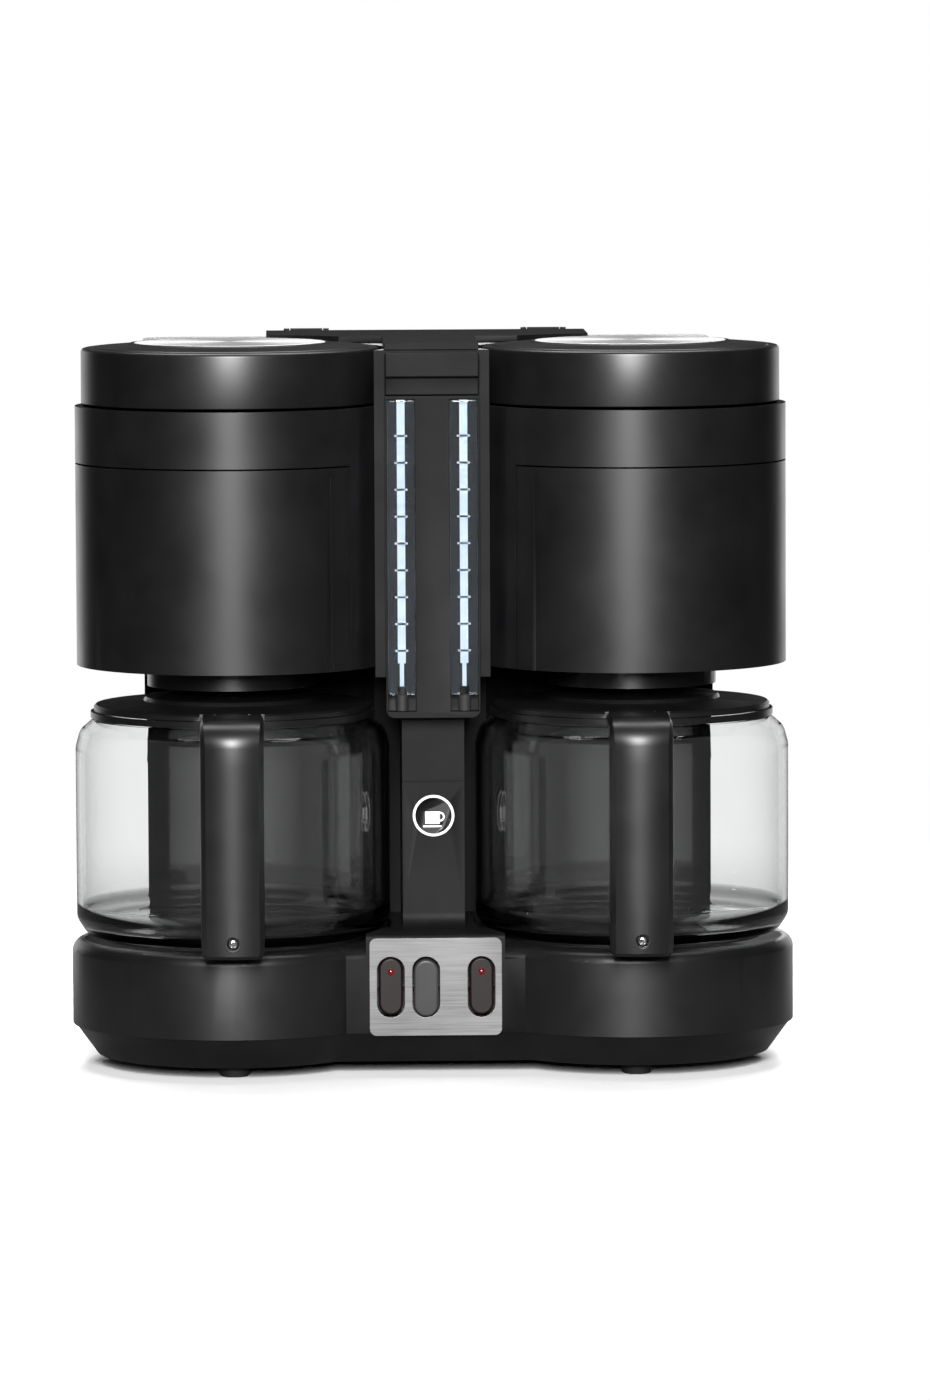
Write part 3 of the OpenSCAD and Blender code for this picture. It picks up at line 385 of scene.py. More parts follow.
for name, dark, light, *recipe in (
    ("brushed_panel", 0.18, 0.28, (0.42, 0.55)),
    ("disc_metal", 0.5, 0.72, (0.4, 0.55)),
    ("steel_small", (0.7, 0.7, 0.71), (0.86, 0.86, 0.87), (0.12, 0.22), 0.000002, (30, 30, 30)),
    ("pin_steel", (0.45, 0.45, 0.46), (0.62, 0.62, 0.63), (0.25, 0.4), 0.000004, (40, 40, 4)),
    ("element_metal", (0.42, 0.42, 0.43), (0.6, 0.6, 0.61), (0.4, 0.6), 0.00003, (20, 20, 20)),
):
    if isinstance(dark, float):
        dark, light = (dark,) * 3, (light,) * 3
    finishes[name] = brushed(name, dark, light, *recipe)
print("metals:", sorted(name for name in finishes if "steel" in name or "metal" in name))

# %% [markdown]
# A hot plate is pressed steel with a dark non-stick enamel. It is fired on, so it is slightly speckled
# and has a thin glassy coat over a rougher body: the coat is the shader's own, and two noises do the
# rest.

# %% Enamel on the hot plates
hot, tree, paint = blank("plate_steel", Coat_Weight=0.3, Coat_Roughness=0.35)
speckle = tints(tree, grain(tree, 380, 3), (0.012, 0.012, 0.013), (0.024, 0.024, 0.026))
link(tree, speckle, paint.inputs["Base Color"])
link(tree, spread(tree, grain(tree, 60, 5), 0.34, 0.52), paint.inputs["Roughness"])
relief(tree, paint, grain(tree, 1400, 2), 0.00002, 0.5)
finishes["plate_steel"] = hot
print(hot.name, "has", len(tree.nodes), "nodes")

# %% [markdown]
# The jugs are blown borosilicate, the gauges and tanks clear moulded plastic. Glass gets its look from
# real walls: every glass piece here is a closed shell with an inner and an outer skin, and the shader
# bends light through both. A faint drift in the roughness stands for the film that washing leaves. The
# lamps are red lenses.

# %% Clear finishes


def clear(name, tint, index, gloss, film=40):
    """Glass or clear plastic of a tint, under a faint film. A larger film number makes finer patches."""
    mat, tree, paint = blank(name, Transmission_Weight=1.0, IOR=index)
    washed = tuple(0.985 * c for c in tint)
    link(tree, tints(tree, grain(tree, film, 3), washed, tint), paint.inputs["Base Color"])
    link(tree, spread(tree, grain(tree, film * 1.5, 4), *gloss), paint.inputs["Roughness"])
    return mat


finishes["jug_glass"] = clear("jug_glass", (0.985, 0.992, 0.99), 1.47, (0.0, 0.012))
finishes["gauge_clear"] = clear("gauge_clear", (0.86, 0.93, 1.0), 1.49, (0.01, 0.04))
finishes["tank_clear"] = clear("tank_clear", (0.55, 0.58, 0.6), 1.45, (0.15, 0.3))
lamp, tree, paint = blank("lamp_red", Transmission_Weight=0.35, IOR=1.5, Coat_Weight=0.6)
reds = tints(tree, grain(tree, 900, 2), (0.10, 0.002, 0.003), (0.2, 0.005, 0.006))
link(tree, reds, paint.inputs["Base Color"])
link(tree, spread(tree, grain(tree, 700, 3), 0.08, 0.2), paint.inputs["Roughness"])
finishes["lamp_red"] = lamp
print(sorted(finishes))

# %% [markdown]
# ## Every piece is set up the same way
# Each visible piece gets its name and finish, smooth shading with sharp edges kept and the body that it
# rides on, and the CAD nodes that it stands for are hidden. One function does all of it, so nothing is
# forgotten on one piece.


def settle(obj, name, finish, body, stands_for, smooth=32):
    """Gives a mesh object its name, finish, shading and body, and hides the CAD nodes it stands for."""
    obj.name = obj.data.name = name
    obj.data.materials.clear()
    obj.data.materials.append(finishes[finish])
    obj.data.shade_smooth()
    obj.data.set_sharp_from_angle(angle=math.radians(smooth))
    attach(obj, body)
    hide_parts(*stands_for)
    return obj


def from_form(form, name):
    """Turns a bmesh into an object in the scene."""
    mesh = bpy.data.meshes.new(name)
    form.to_mesh(mesh)
    form.free()
    obj = bpy.data.objects.new(name, mesh)
    scene.collection.objects.link(obj)
    return obj


# %% [markdown]
# ## Two ways to make a shape
# Round pieces are turned, as on a lathe: a profile of radius and height goes round an upright line. Its
# corners get a small radius first, because a real moulding has no sharp edge and every edge should
# catch the light. A Screw modifier would turn a profile as well, but mesh code closes the poles and
# needs no clean-up.

# %% Round a profile's corners


def softened(points, steps=5):
    """Rounds each corner of a profile. A point is (radius, height) or (radius, height, corner radius)."""
    out = []
    for i, p in enumerate(points):
        r = p[2] if len(p) > 2 else 0
        here = Vector(p[:2])
        if r <= 0:
            out.append(here)
            continue
        a = Vector(points[i - 1][:2]) - here
        b = Vector(points[(i + 1) % len(points)][:2]) - here
        half = a.angle(b) / 2
        reach = min(r / math.tan(half), a.length * 0.49, b.length * 0.49)
        r = reach * math.tan(half)
        middle = here + (a.normalized() + b.normalized()).normalized() * (r / math.sin(half))
        start, end = here + a.normalized() * reach - middle, here + b.normalized() * reach - middle
        turn = math.atan2(start.x * end.y - start.y * end.x, start.dot(end))
        out += [middle + Matrix.Rotation(turn * k / steps, 2) @ start for k in range(steps + 1)]
    return out


print("a softened square has", len(softened([(0, 0, 1), (9, 0, 1), (9, 9, 1), (0, 9, 1)])), "points")

# %% [markdown]
# Turning makes one ring of points for each point of the profile, and a single point on the axis, so a
# pole is closed. The profile runs round a wall and back, so the last ring joins the first.

# %% Turn it


def turned(profile, centre, segments=112):
    """A bmesh turned from a profile in millimetres about the upright line through centre, in metres."""
    form = bmesh.new()
    rings = []
    for r, z in profile:
        if r < 1e-4:
            rings.append([form.verts.new((centre[0], centre[1], z * mm))])
            continue
        ring = []
        for k in range(segments):
            angle = 2 * math.pi * k / segments
            x, y = centre[0] + r * mm * math.cos(angle), centre[1] + r * mm * math.sin(angle)
            ring.append(form.verts.new((x, y, z * mm)))
        rings.append(ring)
    for low, high in zip(rings, rings[1:] + rings[:1]):
        if len(low) == 1 and len(high) == 1:
            continue
        for k in range(segments):
            j = (k + 1) % segments
            lower = [low[k % len(low)], low[j % len(low)]]
            upper = [high[j % len(high)], high[k % len(high)]]
            corners = list(dict.fromkeys(lower + upper))
            if len(corners) > 2:
                form.faces.new(corners)
    bmesh.ops.recalc_face_normals(form, faces=form.faces)
    return form


print("lathe ready")

# %% [markdown]
# All other casings start from a copy of their CAD node. The copy is loose triangles, so it is merged,
# its flat faces are joined again, and a bevel rounds the sharp edges. Drawing those again by hand would
# only add errors.

# %% Copy a CAD node and finish it


def round_over(obj, edge, steps, corner):
    """Bevels the edges sharper than corner degrees by edge, in millimetres."""
    ease = obj.modifiers.new("round_over", "BEVEL")
    ease.width, ease.segments = edge * mm, steps
    ease.limit_method, ease.angle_limit = "ANGLE", math.radians(corner)
    ease.harden_normals = True


def finished_copy(node, name, finish, edge, steps=2, corner=38):
    """A copy of a CAD node with merged faces and edges rounded by edge, in millimetres."""
    form = bmesh.new()
    form.from_mesh(cad[node].data)
    bmesh.ops.remove_doubles(form, verts=form.verts, dist=3e-6)
    bmesh.ops.dissolve_limit(form, angle_limit=math.radians(0.1), verts=form.verts, edges=form.edges)
    obj = settle(from_form(form, name), name, finish, body_for[node], [node], smooth=corner)
    if edge:
        round_over(obj, edge, steps, corner)
    return obj


def middle_of(node):
    """The middle of a CAD node's box at rest."""
    lo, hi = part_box(node)
    return (lo + hi) / 2


print("workshop ready")

# %% [markdown]
# ## The casings
# Base, tower, column, gauge frame, top block, tank lid and the fixed part of the heads are plain
# mouldings with flat and round faces. Their edges are rounded by about half a millimetre, the tank lid
# and the top block a little more, because they are handled.

# %% Rounded casings
casings = {
    "base_housing": ("base_shell", "black_casing", 0.8),
    "base_plate": ("base_tray", "black_casing", 0.6),
    "tower": ("tower_shell", "centre_casing", 0.6),
    "column": ("centre_column", "centre_casing", 0.8),
    "back_cover": ("back_panel", "centre_casing", 0.6),
    "gauge_frame": ("gauge_channels", "centre_casing", 0.5),
    "top_block": ("front_block", "centre_casing", 0.8),
    "tank_lid": ("lid_over_tanks", "centre_casing", 0.7),
    "brew_head_left": ("head_band_left", "black_casing", 0.7),
    "brew_head_right": ("head_band_right", "black_casing", 0.7),
    "filter_holder_left": ("holder_door_left", "black_casing", 0.7),
    "filter_holder_right": ("holder_door_right", "black_casing", 0.7),
    "jug_lid_left": ("jug_lid_cap_left", "black_casing", 0.5),
    "jug_lid_right": ("jug_lid_cap_right", "black_casing", 0.5),
    "jug_collar_left": ("jug_band_left", "black_casing", 0.2),
    "jug_collar_right": ("jug_band_right", "black_casing", 0.2),
    "switch_plate": ("switch_panel", "brushed_panel", 0.35),
    "cord_gland": ("cord_exit", "soft_black", 0.5),
    "gauge_elbows": ("gauge_bends", "soft_black", 0.3),
}
made = {}
for node, (name, finish, edge) in casings.items():
    made[node] = finished_copy(node, name, finish, edge)
print(len(made), "casings finished from their CAD nodes")

# %% [markdown]
# The flat front between the base's two lobes is a little more matt than the lobes. It is one moulding,
# so the piece keeps one mesh and its faces choose between two finishes by where they lie.

# %% A matt middle for the base
flat_front_half = 43 * mm
shell = made["base_housing"].data
shell.materials.append(finishes["centre_casing"])
for face in shell.polygons:
    face.material_index = int(abs(face.center.x) < flat_front_half)
print(sum(face.material_index for face in shell.polygons), "matt faces of", len(shell.polygons))

# %% [markdown]
# ## Round covers and discs
# Each head ends in a round cover with a soft upper edge, a shallow step inside the rim and a brushed
# disc in the middle that is raised a little. All of it is one lathe profile for the cover and one for
# the disc.

# %% Covers and discs
cover_r = 72.0
for side in ("left", "right"):
    centre, top = middle_of("head_cover_" + side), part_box("head_cover_" + side)[1].z / mm
    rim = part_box("brew_head_" + side)[1].z / mm + 1.2
    profile = [
        (0, top - 0.9), (46.4, top - 0.9, 0.2), (46.4, top - 0.1, 0.3), (48.2, top - 0.1, 0.4),
        (49.6, top - 0.7, 0.4), (66.2, top - 2.0, 0.4), (67.0, top - 2.6, 0.3), (68.0, top - 2.2, 0.4),
        (cover_r - 0.1, top - 2.7, 1.9), (cover_r, rim, 0.5), (cover_r - 3, rim, 0.3),
        (cover_r - 3, top - 6, 0.5), (0, top - 6),
    ]
    cover = from_form(turned(softened(profile), centre), "cover")
    settle(cover, "round_cover_" + side, "black_casing", "base", ["head_cover_" + side], smooth=40)
    disc = [(0, top - 0.85), (46.1, top - 0.85), (46.1, top, 0.4), (43, top + 0.2, 2.0), (0, top + 0.2)]
    plate = from_form(turned(softened(disc), centre), "disc")
    settle(plate, "brushed_disc_" + side, "disc_metal", "base", ["cover_discs"], smooth=40)
print("covers at", round(top, 1), "mm")

# %% [markdown]
# ## Jugs
# A jug is blown glass with a thick floor, a heel of 8 mm, an upright wall, a rounded shoulder and a
# short neck. One closed profile runs up the outside, over the rim and down the inside, so light bends
# through a real wall. Its floor is thicker in the middle and the rim is fire-polished to a bead.

# %% Blown glass


def jug_profile(floor, top, outer=76.0, neck=66.0, wall=2.6):
    """The jug's closed outline in millimetres, up the outside and down the inside."""
    shoulder = top - 20
    outside = [(0, floor + 1.4), (34, floor + 1.0, 20), (60, floor + 0.1, 6), (outer - 5, floor + 1.2, 5)]
    outside += [(outer, floor + 9, 7), (outer, shoulder + 3, 8), (outer - 2.2, shoulder + 11, 7)]
    outside += [(neck + 1.2, top - 3.4, 4), (neck, top - 1.4, 1.2), (neck - 0.4, top, 1.1)]
    inside = [(neck - wall + 0.2, top, 1.1), (neck - wall, top - 2.4, 2)]
    inside += [(neck - wall - 0.2, top - 4.2, 3)]
    inside += [(outer - wall - 2.6, shoulder + 9.6, 6), (outer - wall, shoulder + 2, 8)]
    inside += [(outer - wall, floor + 14, 8), (outer - wall - 5, floor + 6.4, 6)]
    inside += [(40, floor + 5.4, 15), (0, floor + 5.8)]
    return softened(outside + inside, 6)


for side in ("left", "right"):
    node = "jug_glass_" + side
    lo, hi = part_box(node)
    glass = from_form(turned(jug_profile(lo.z / mm, hi.z / mm), middle_of(node), 128), "glass")
    settle(glass, "blown_glass_" + side, "jug_glass", body_for[node], [node], smooth=60)
    print(glass.name, len(glass.data.polygons), "faces")

# %% [markdown]
# ## Handles
# A handle is a moulded bow: a flat cap over the lid's edge that turns down into a grip with a crowned
# front. It is swept here: the same rounded section travels along a path from the cap to the foot, and
# its thickness changes on the way. The screw's recess, the slot for the lid's tongue and the hollow in
# the back are then cut out with plain blocks and pins.

# %% Sweep a section along a path


def section(width, thick, crown, corner, steps=4):
    """Points (across, outwards) of a bar's section: crowned outside, flat inside, round corners."""
    w, t = width / 2, thick / 2
    crowned = []
    for k in range(11):
        u = -1 + 2 * k / 10
        crowned.append((u * (w - corner * 0.55), t - crown * u * u, 0))
    upper, under = (t - crown - corner, corner * 0.8), (-t, min(2.2, t * 0.5))
    return softened(crowned + [(w, *upper), (w, *under), (-w, *under), (-w, *upper)], steps)


def swept(stations, centre_x):
    """Joins sections along a path of stations, in millimetres.

    A station is (y, z, outward y, outward z, width, thickness, crown, corner).
    """
    form = bmesh.new()
    rings = []
    for y, z, ny, nz, width, thick, crown, corner in stations:
        ring = []
        for across, out in section(width, thick, crown, corner):
            spot = (centre_x + across * mm, (y + ny * out) * mm, (z + nz * out) * mm)
            ring.append(form.verts.new(spot))
        rings.append(ring)
    for a, b in zip(rings, rings[1:]):
        for k in range(len(a)):
            j = (k + 1) % len(a)
            form.faces.new((a[k], a[j], b[j], b[k]))
    form.faces.new(rings[0])
    form.faces.new(rings[-1][::-1])
    bmesh.ops.recalc_face_normals(form, faces=form.faces)
    return form


print("a grip's section has", len(section(30, 15, 2.4, 4.4)), "points")

# %% [markdown]
# Recesses and slots are cut with exact booleans. On the real handle they are steel cores in the mould,
# so a block or a pin is just the shape that the core has. The result is kept as a plain mesh.

# %% Blocks, pins and cuts


def block(lo, hi):
    """A block between two corners, in metres."""
    form = bmesh.new()
    bmesh.ops.create_cube(form, size=1)
    size, centre = Vector(hi) - Vector(lo), (Vector(lo) + Vector(hi)) / 2
    place = Matrix.Translation(centre) @ Matrix.Diagonal((*size, 1))
    bmesh.ops.transform(form, matrix=place, verts=form.verts)
    return from_form(form, "cutter")


def pin_along_y(x, z, y0, y1, r, segments=40):
    """A round pin along Y, in metres."""
    form = bmesh.new()
    long = abs(y1 - y0)
    bmesh.ops.create_cone(form, cap_ends=True, segments=segments, radius1=r, radius2=r, depth=long)
    place = Matrix.Translation((x, (y0 + y1) / 2, z)) @ Matrix.Rotation(math.radians(90), 4, "X")
    bmesh.ops.transform(form, matrix=place, verts=form.verts)
    return from_form(form, "cutter")


def carved(obj, cutters, joined=()):
    """Cuts shapes out of obj, joins others to it, and returns the result as a plain mesh object."""
    for tool, kind in [(t, "UNION") for t in joined] + [(t, "DIFFERENCE") for t in cutters]:
        cut = obj.modifiers.new("cut", "BOOLEAN")
        cut.operation, cut.object, cut.solver = kind, tool, "EXACT"
    bpy.context.view_layer.update()
    graph = bpy.context.evaluated_depsgraph_get()
    mesh = bpy.data.meshes.new_from_object(obj.evaluated_get(graph))
    result = bpy.data.objects.new("carved", mesh)
    scene.collection.objects.link(result)
    for tool in [*cutters, *joined, obj]:
        bpy.data.objects.remove(tool)
    return result


print("cutters ready")

# %% [markdown]
# The path of a handle is a short list of stations: flat over the lid, nine steps round the bend, and
# straight down the grip. The box of the CAD handle gives its front, top and foot, so both handles fit
# their nodes.

# %% The handle's path


def bow(front, back, top, low, cap_back, cap_low, width=30, bend=13, steps=9):
    """Stations of the handle, from the end of the cap to the foot of the grip."""
    cap_t = top - cap_low
    grip_t = back - front
    stations = []
    for y in (cap_back, cap_back - 8, cap_back - 16, front + grip_t + 6):
        stations.append((y, top - cap_t / 2, 0, 1, width, cap_t, 0.5, 2.2))
    for k in range(1, steps + 1):
        a = math.radians(90 * k / steps)
        ny, nz = -math.sin(a), math.cos(a)
        thick = cap_t + (grip_t - cap_t) * k / steps
        y, z = front + bend + (bend - thick / 2) * ny, top - bend + (bend - thick / 2) * nz
        crown, corner = 0.5 + 1.9 * k / steps, 2.2 + 2.2 * k / steps
        stations.append((y, z, ny, nz, width, thick, crown, corner))
    middle = front + grip_t / 2
    for z in (top - 22, top - 40, low + 30, low + 8):
        stations.append((middle, z, -1, 0, width, grip_t, 2.4, 4.4))
    stations.append((middle, low + 1.6, -1, 0, width - 0.4, grip_t - 0.4, 2.4, 4.4))
    stations.append((middle, low, -1, 0, width - 3, grip_t - 3, 2.0, 4.0))
    return stations


print("stations:", len(bow(0, 15, 100, 0, 30, 95)))

# %% [markdown]
# Each handle is swept and then cut: a foot block joins it to the collar, and the screw's recess, the
# slot for the lid's tongue and the hollow behind the grip come out. All places come from the boxes of
# the parts that meet the handle, so a screw always sits in its recess.

# %% The two handles
grip_thickness, cap_end = 15, -79.0
for side in ("left", "right"):
    node = "jug_handle_" + side
    lo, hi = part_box(node)
    pin_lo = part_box("jug_lid_pin_" + side)[0]
    glass_lo, glass_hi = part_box("jug_glass_" + side)
    x, screw_z = (lo.x + hi.x) / 2, middle_of("handle_screw_" + side).z
    front = lo.y / mm
    path = bow(front, front + grip_thickness, hi.z / mm, lo.z / mm, cap_end, glass_hi.z / mm + 0.5)
    grip = from_form(swept(path, x), "grip")
    foot = block(
        (x - 11 * mm, (front + 13) * mm, screw_z - 5 * mm),
        (x + 11 * mm, glass_lo.y - 0.3 * mm, screw_z + 5 * mm),
    )
    recess = pin_along_y(x, screw_z, lo.y - 4 * mm, lo.y + 3 * mm, 3.6 * mm)
    tongue_slot = block(
        (x - 8.4 * mm, pin_lo.y - 3 * mm, pin_lo.z - 1.9 * mm), (x + 8.4 * mm, -70 * mm, hi.z + 2 * mm)
    )
    hollow = block(
        (x - 11.5 * mm, lo.y + 6 * mm, glass_lo.z + 20 * mm),
        (x + 11.5 * mm, lo.y + 18 * mm, glass_hi.z - 16 * mm),
    )
    handle = carved(grip, [recess, tongue_slot, hollow], [foot])
    settle(handle, "jug_bow_" + side, "black_casing", body_for[node], [node], smooth=34)
    print(handle.name, len(handle.data.polygons), "faces")

# %% [markdown]
# ## Hot plates, seals and feet
# A hot plate is pressed sheet: a raised rim, a small step and a flat middle, with a ring pressed into
# it for stiffness. A rubber seal fills the gap to the housing, and the feet are turned rubber with a
# hollow sole.

# %% Turned plates and their seals
for side in ("left", "right"):
    node = "hot_plate_" + side
    lo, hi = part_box(node)
    r, bottom, top = (hi.x - lo.x) / 2 / mm, lo.z / mm, hi.z / mm
    pressed = [
        (0, top - 0.5), (22, top - 0.5, 2), (23, top - 0.85, 0.5), (25, top - 0.85, 0.5),
        (26, top - 0.5, 2), (r - 6.5, top - 0.5, 0.6), (r - 5.6, top, 0.5), (r, top, 0.8), (r, bottom, 0.3), (0, bottom),
    ]
    plate = from_form(turned(softened(pressed), middle_of(node)), "plate")
    settle(plate, "warming_plate_" + side, "plate_steel", body_for[node], [node])
    gasket = [
        (r + 0.25, bottom), (r + 0.25, top - 0.5, 0.3), (r + 1.4, top - 0.35, 0.5),
        (r + 2.3, top - 0.8, 0.4), (r + 2.3, bottom),
    ]
    ring = from_form(turned(softened(gasket), middle_of(node)), "ring")
    settle(ring, "plate_gasket_" + side, "soft_black", "base", ["plate_seals"])
print("plates of radius", round(r, 1), "mm with seals")

# %% [markdown]
# The feet stand under the front of each lobe and at the rear corners. Turned rubber with a hollow sole
# grips better than a flat disc, and its dark ring is what shows under the base.

# %% Four feet
lo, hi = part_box("feet")
foot_r = 7.5
plate_x = middle_of("hot_plate_right").x
rear_y, front_y = hi.y - foot_r * mm, lo.y + foot_r * mm
foot_places = [(lo.x + foot_r * mm, rear_y), (hi.x - foot_r * mm, rear_y)]
foot_places += [(-plate_x, front_y), (plate_x, front_y)]
sole = [(0, 1.6), (4.2, 1.6, 0.5), (4.8, 0, 0.5), (6.6, 0, 0.9), (foot_r, 2.2, 1.5), (foot_r, 8), (0, 8)]
for k, place in enumerate(foot_places):
    foot = from_form(turned(softened(sole), place, 64), "foot")
    settle(foot, "rubber_foot_" + str(k + 1), "soft_black", "base", ["feet"])
print(len(foot_places), "feet")

# %% [markdown]
# ## What repeats
# Scale marks, screws and the ribs of a filter basket are each one small shape that is set out many
# times. A Geometry Nodes tree does that: it takes the places, or works them out from a count and a
# pitch, and puts the shape on each. The tree ends in Realize Instances and Set Material, and its result
# is made a plain mesh. Copying by hand or with Array modifiers would work too, but a tree keeps the
# numbers in one place.

# %% Open and close a tree


def new_tree(name, inputs):
    """A geometry tree with named inputs. Returns the tree, its input node and the sockets by name."""
    tree = bpy.data.node_groups.new(name, "GeometryNodeTree")
    sockets = {}
    for label, kind in inputs:
        sockets[label] = tree.interface.new_socket(label, in_out="INPUT", socket_type=kind)
    tree.interface.new_socket("Geometry", in_out="OUTPUT", socket_type="NodeSocketGeometry")
    return tree, tree.nodes.new("NodeGroupInput"), sockets


def close_tree(tree, source, start):
    """Ends a tree in Realize Instances and Set Material."""
    realize = add(tree, "GeometryNodeRealizeInstances")
    paint = add(tree, "GeometryNodeSetMaterial")
    end = add(tree, "NodeGroupOutput")
    link(tree, source, realize.inputs[0])
    link(tree, realize.outputs[0], paint.inputs["Geometry"])
    link(tree, start.outputs["Finish"], paint.inputs["Material"])
    link(tree, paint.outputs[0], end.inputs[0])


print("trees end in one finish")

# %% [markdown]
# A tree needs an object to run on. A seed object carries it for a moment, its evaluated result becomes
# the piece's own mesh, and the seed is thrown away, so no modifier is left that an export could drop.

# %% Grow a piece from a tree


def grown(tree, sockets, values, name, finish, body, stands_for, base_mesh=None):
    """Runs a tree on its own object and keeps the result as a plain mesh."""
    seed = bpy.data.objects.new("seed", base_mesh or bpy.data.meshes.new("seed"))
    scene.collection.objects.link(seed)
    set_out = seed.modifiers.new("set_out", "NODES")
    set_out.node_group = tree
    for label, value in {**values, "Finish": finishes[finish]}.items():
        set_out[sockets[label].identifier] = value
    bpy.context.view_layer.update()
    graph = bpy.context.evaluated_depsgraph_get()
    mesh = bpy.data.meshes.new_from_object(seed.evaluated_get(graph))
    bpy.data.objects.remove(seed)
    piece = bpy.data.objects.new(name, mesh)
    scene.collection.objects.link(piece)
    settle(piece, name, finish, body, stands_for)
    print(name, len(mesh.polygons), "faces")
    return piece


print("ready to grow pieces")

# %% [markdown]
# The printed scale of a gauge is a row of short white marks at one pitch. The white strip behind them is
# a painted highlight: it stands for the reflection that runs down a round gauge tube. A line of points
# carries one bar per mark, so the count and the pitch are two numbers that a reader can change.

# %% A tree for scale marks
tree, start, marks = new_tree(
    "scale_marks",
    [
        ("Count", "NodeSocketInt"), ("Pitch", "NodeSocketFloat"), ("First", "NodeSocketVector"),
        ("Size", "NodeSocketVector"), ("Finish", "NodeSocketMaterial"),
    ],
)
line = add(tree, "GeometryNodeMeshLine")
pitch = add(tree, "ShaderNodeCombineXYZ")
bar = add(tree, "GeometryNodeMeshCube")
place = add(tree, "GeometryNodeInstanceOnPoints")
link(tree, start.outputs["Count"], line.inputs["Count"])
link(tree, start.outputs["Pitch"], pitch.inputs["Z"])
link(tree, start.outputs["First"], line.inputs["Start Location"])
link(tree, pitch.outputs[0], line.inputs["Offset"])
link(tree, start.outputs["Size"], bar.inputs["Size"])
link(tree, line.outputs[0], place.inputs["Points"])
link(tree, bar.outputs["Mesh"], place.inputs["Instance"])
close_tree(tree, place.outputs[0], start)
print(tree.name, "has", len(tree.nodes), "nodes")

# %% [markdown]
# The tree runs once for each gauge. The white strip behind the marks is a painted highlight: broad above
# and narrow at its foot, where the elbow of the gauge begins, so it is two plain blocks.

# %% Scale marks and painted highlight strips on the gauges
strips_lo, strips_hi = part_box("gauge_strips")
y, face_y = (strips_lo.y + strips_hi.y) / 2, strips_hi.y - 0.05 * mm
scale_x, highlight_stem_top, first_mark = 15 * mm, 197 * mm, 203 * mm
highlight_strip_half, highlight_stem_half = 1.9 * mm, 1.0 * mm
for side, x in (("left", -scale_x), ("right", scale_x)):
    values = {
        "Count": 9, "Pitch": 12.9 * mm, "First": (x, y, first_mark),
        "Size": (6.2 * mm, 0.4 * mm, 0.95 * mm),
    }
    grown(tree, marks, values, "scale_marks_" + side, "scale_white", "base", ["gauge_strips"])
    # The white strip and its narrow stem are not print: they are a painted highlight, the reflection down a round
    # gauge tube.
    highlight_strip = block((x - highlight_strip_half, strips_lo.y, highlight_stem_top), (x + highlight_strip_half, face_y, strips_hi.z))
    settle(highlight_strip, "scale_ribbon_" + side, "scale_white", "base", ["gauge_strips"])
    highlight_stem = block((x - highlight_stem_half, strips_lo.y, strips_lo.z), (x + highlight_stem_half, face_y, highlight_stem_top))
    settle(highlight_stem, "scale_stem_" + side, "scale_white", "base", ["gauge_strips"])

# %% [markdown]
# A gauge block is a clear moulded bar with a bore for the water. The water fills the bore and bends
# light much as the plastic does, so the bore hardly shows, and the block is solid here. A drilled one
# would mirror the dark channel on its inner wall and hide the scale.

# %% Clear gauge blocks
lo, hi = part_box("sight_tubes")
block_wide = 13.1 * mm
for side, x0 in (("left", lo.x), ("right", hi.x - block_wide)):
    bar = block((x0, lo.y, lo.z), (x0 + block_wide, hi.y, hi.z))
    settle(bar, "gauge_block_" + side, "gauge_clear", "base", ["sight_tubes"])
    ease = bar.modifiers.new("round_over", "BEVEL")
    ease.width, ease.segments, ease.harden_normals = 0.7 * mm, 3, True
print("gauge blocks are", round((hi.z - lo.z) / mm, 1), "mm high")

# %% [markdown]
# The screws have round pan heads with a cross. One head is turned and cut, and a tree sets it on every
# place with a turn of its own, because no two screws stop at the same angle. The seed is fixed, so it
# always gives the same angles.

# %% A screw head with a cross


def cross_head(r, high, slot_w=0.9, slot_long=3.2, depth=1.0):
    """A pan head that looks up, with a cross cut in. All sizes are in millimetres."""
    pan = [(0, 0), (0, high), (r * 0.55, high, r), (r, high * 0.35, 0.3), (r, 0)]
    head = from_form(turned(softened(pan), (0, 0), 40), "head")
    a, b = slot_long / 2 * mm, slot_w / 2 * mm
    foot, over = (high - depth) * mm, (high + 1) * mm
    return carved(head, [block((-x, -y, foot), (x, y, over)) for x, y in ((a, b), (b, a))])


head = cross_head(3.0, 1.5)
print("screw head:", len(head.data.polygons), "faces")

# %% [markdown]
# The tree takes the places as a mesh of loose points, the head as an object, and one turn that faces
# all heads the right way before each gets its own.

# %% A tree for screws
tree, start, screws = new_tree(
    "screws",
    [
        ("Places", "NodeSocketGeometry"), ("Shape", "NodeSocketObject"), ("Turn", "NodeSocketRotation"),
        ("Seed", "NodeSocketInt"), ("Finish", "NodeSocketMaterial"),
    ],
)
shape = add(tree, "GeometryNodeObjectInfo")
place = add(tree, "GeometryNodeInstanceOnPoints")
spin = add(tree, "FunctionNodeRandomValue")
spin.data_type = "FLOAT_VECTOR"
spin.inputs["Max"].default_value = (0, 0, 3.1)
own_turn = add(tree, "GeometryNodeRotateInstances")
link(tree, start.outputs["Shape"], shape.inputs["Object"])
link(tree, start.outputs["Places"], place.inputs["Points"])
link(tree, shape.outputs["Geometry"], place.inputs["Instance"])
link(tree, start.outputs["Turn"], place.inputs["Rotation"])
link(tree, start.outputs["Seed"], spin.inputs["Seed"])
link(tree, place.outputs[0], own_turn.inputs["Instances"])
link(tree, spin.outputs["Value"], own_turn.inputs["Rotation"])
close_tree(tree, own_turn.outputs[0], start)
print(tree.name, "has", len(tree.nodes), "nodes")

# %% [markdown]
# Six heads hold the back panel, and one holds each handle. The boxes of the CAD screws give their
# places.

# %% Screws in the back panel and the handles


def points_mesh(points):
    """A mesh of loose points for a tree to set shapes on."""
    mesh = bpy.data.meshes.new("places")
    mesh.from_pydata([Vector(p) for p in points], [], [])
    return mesh


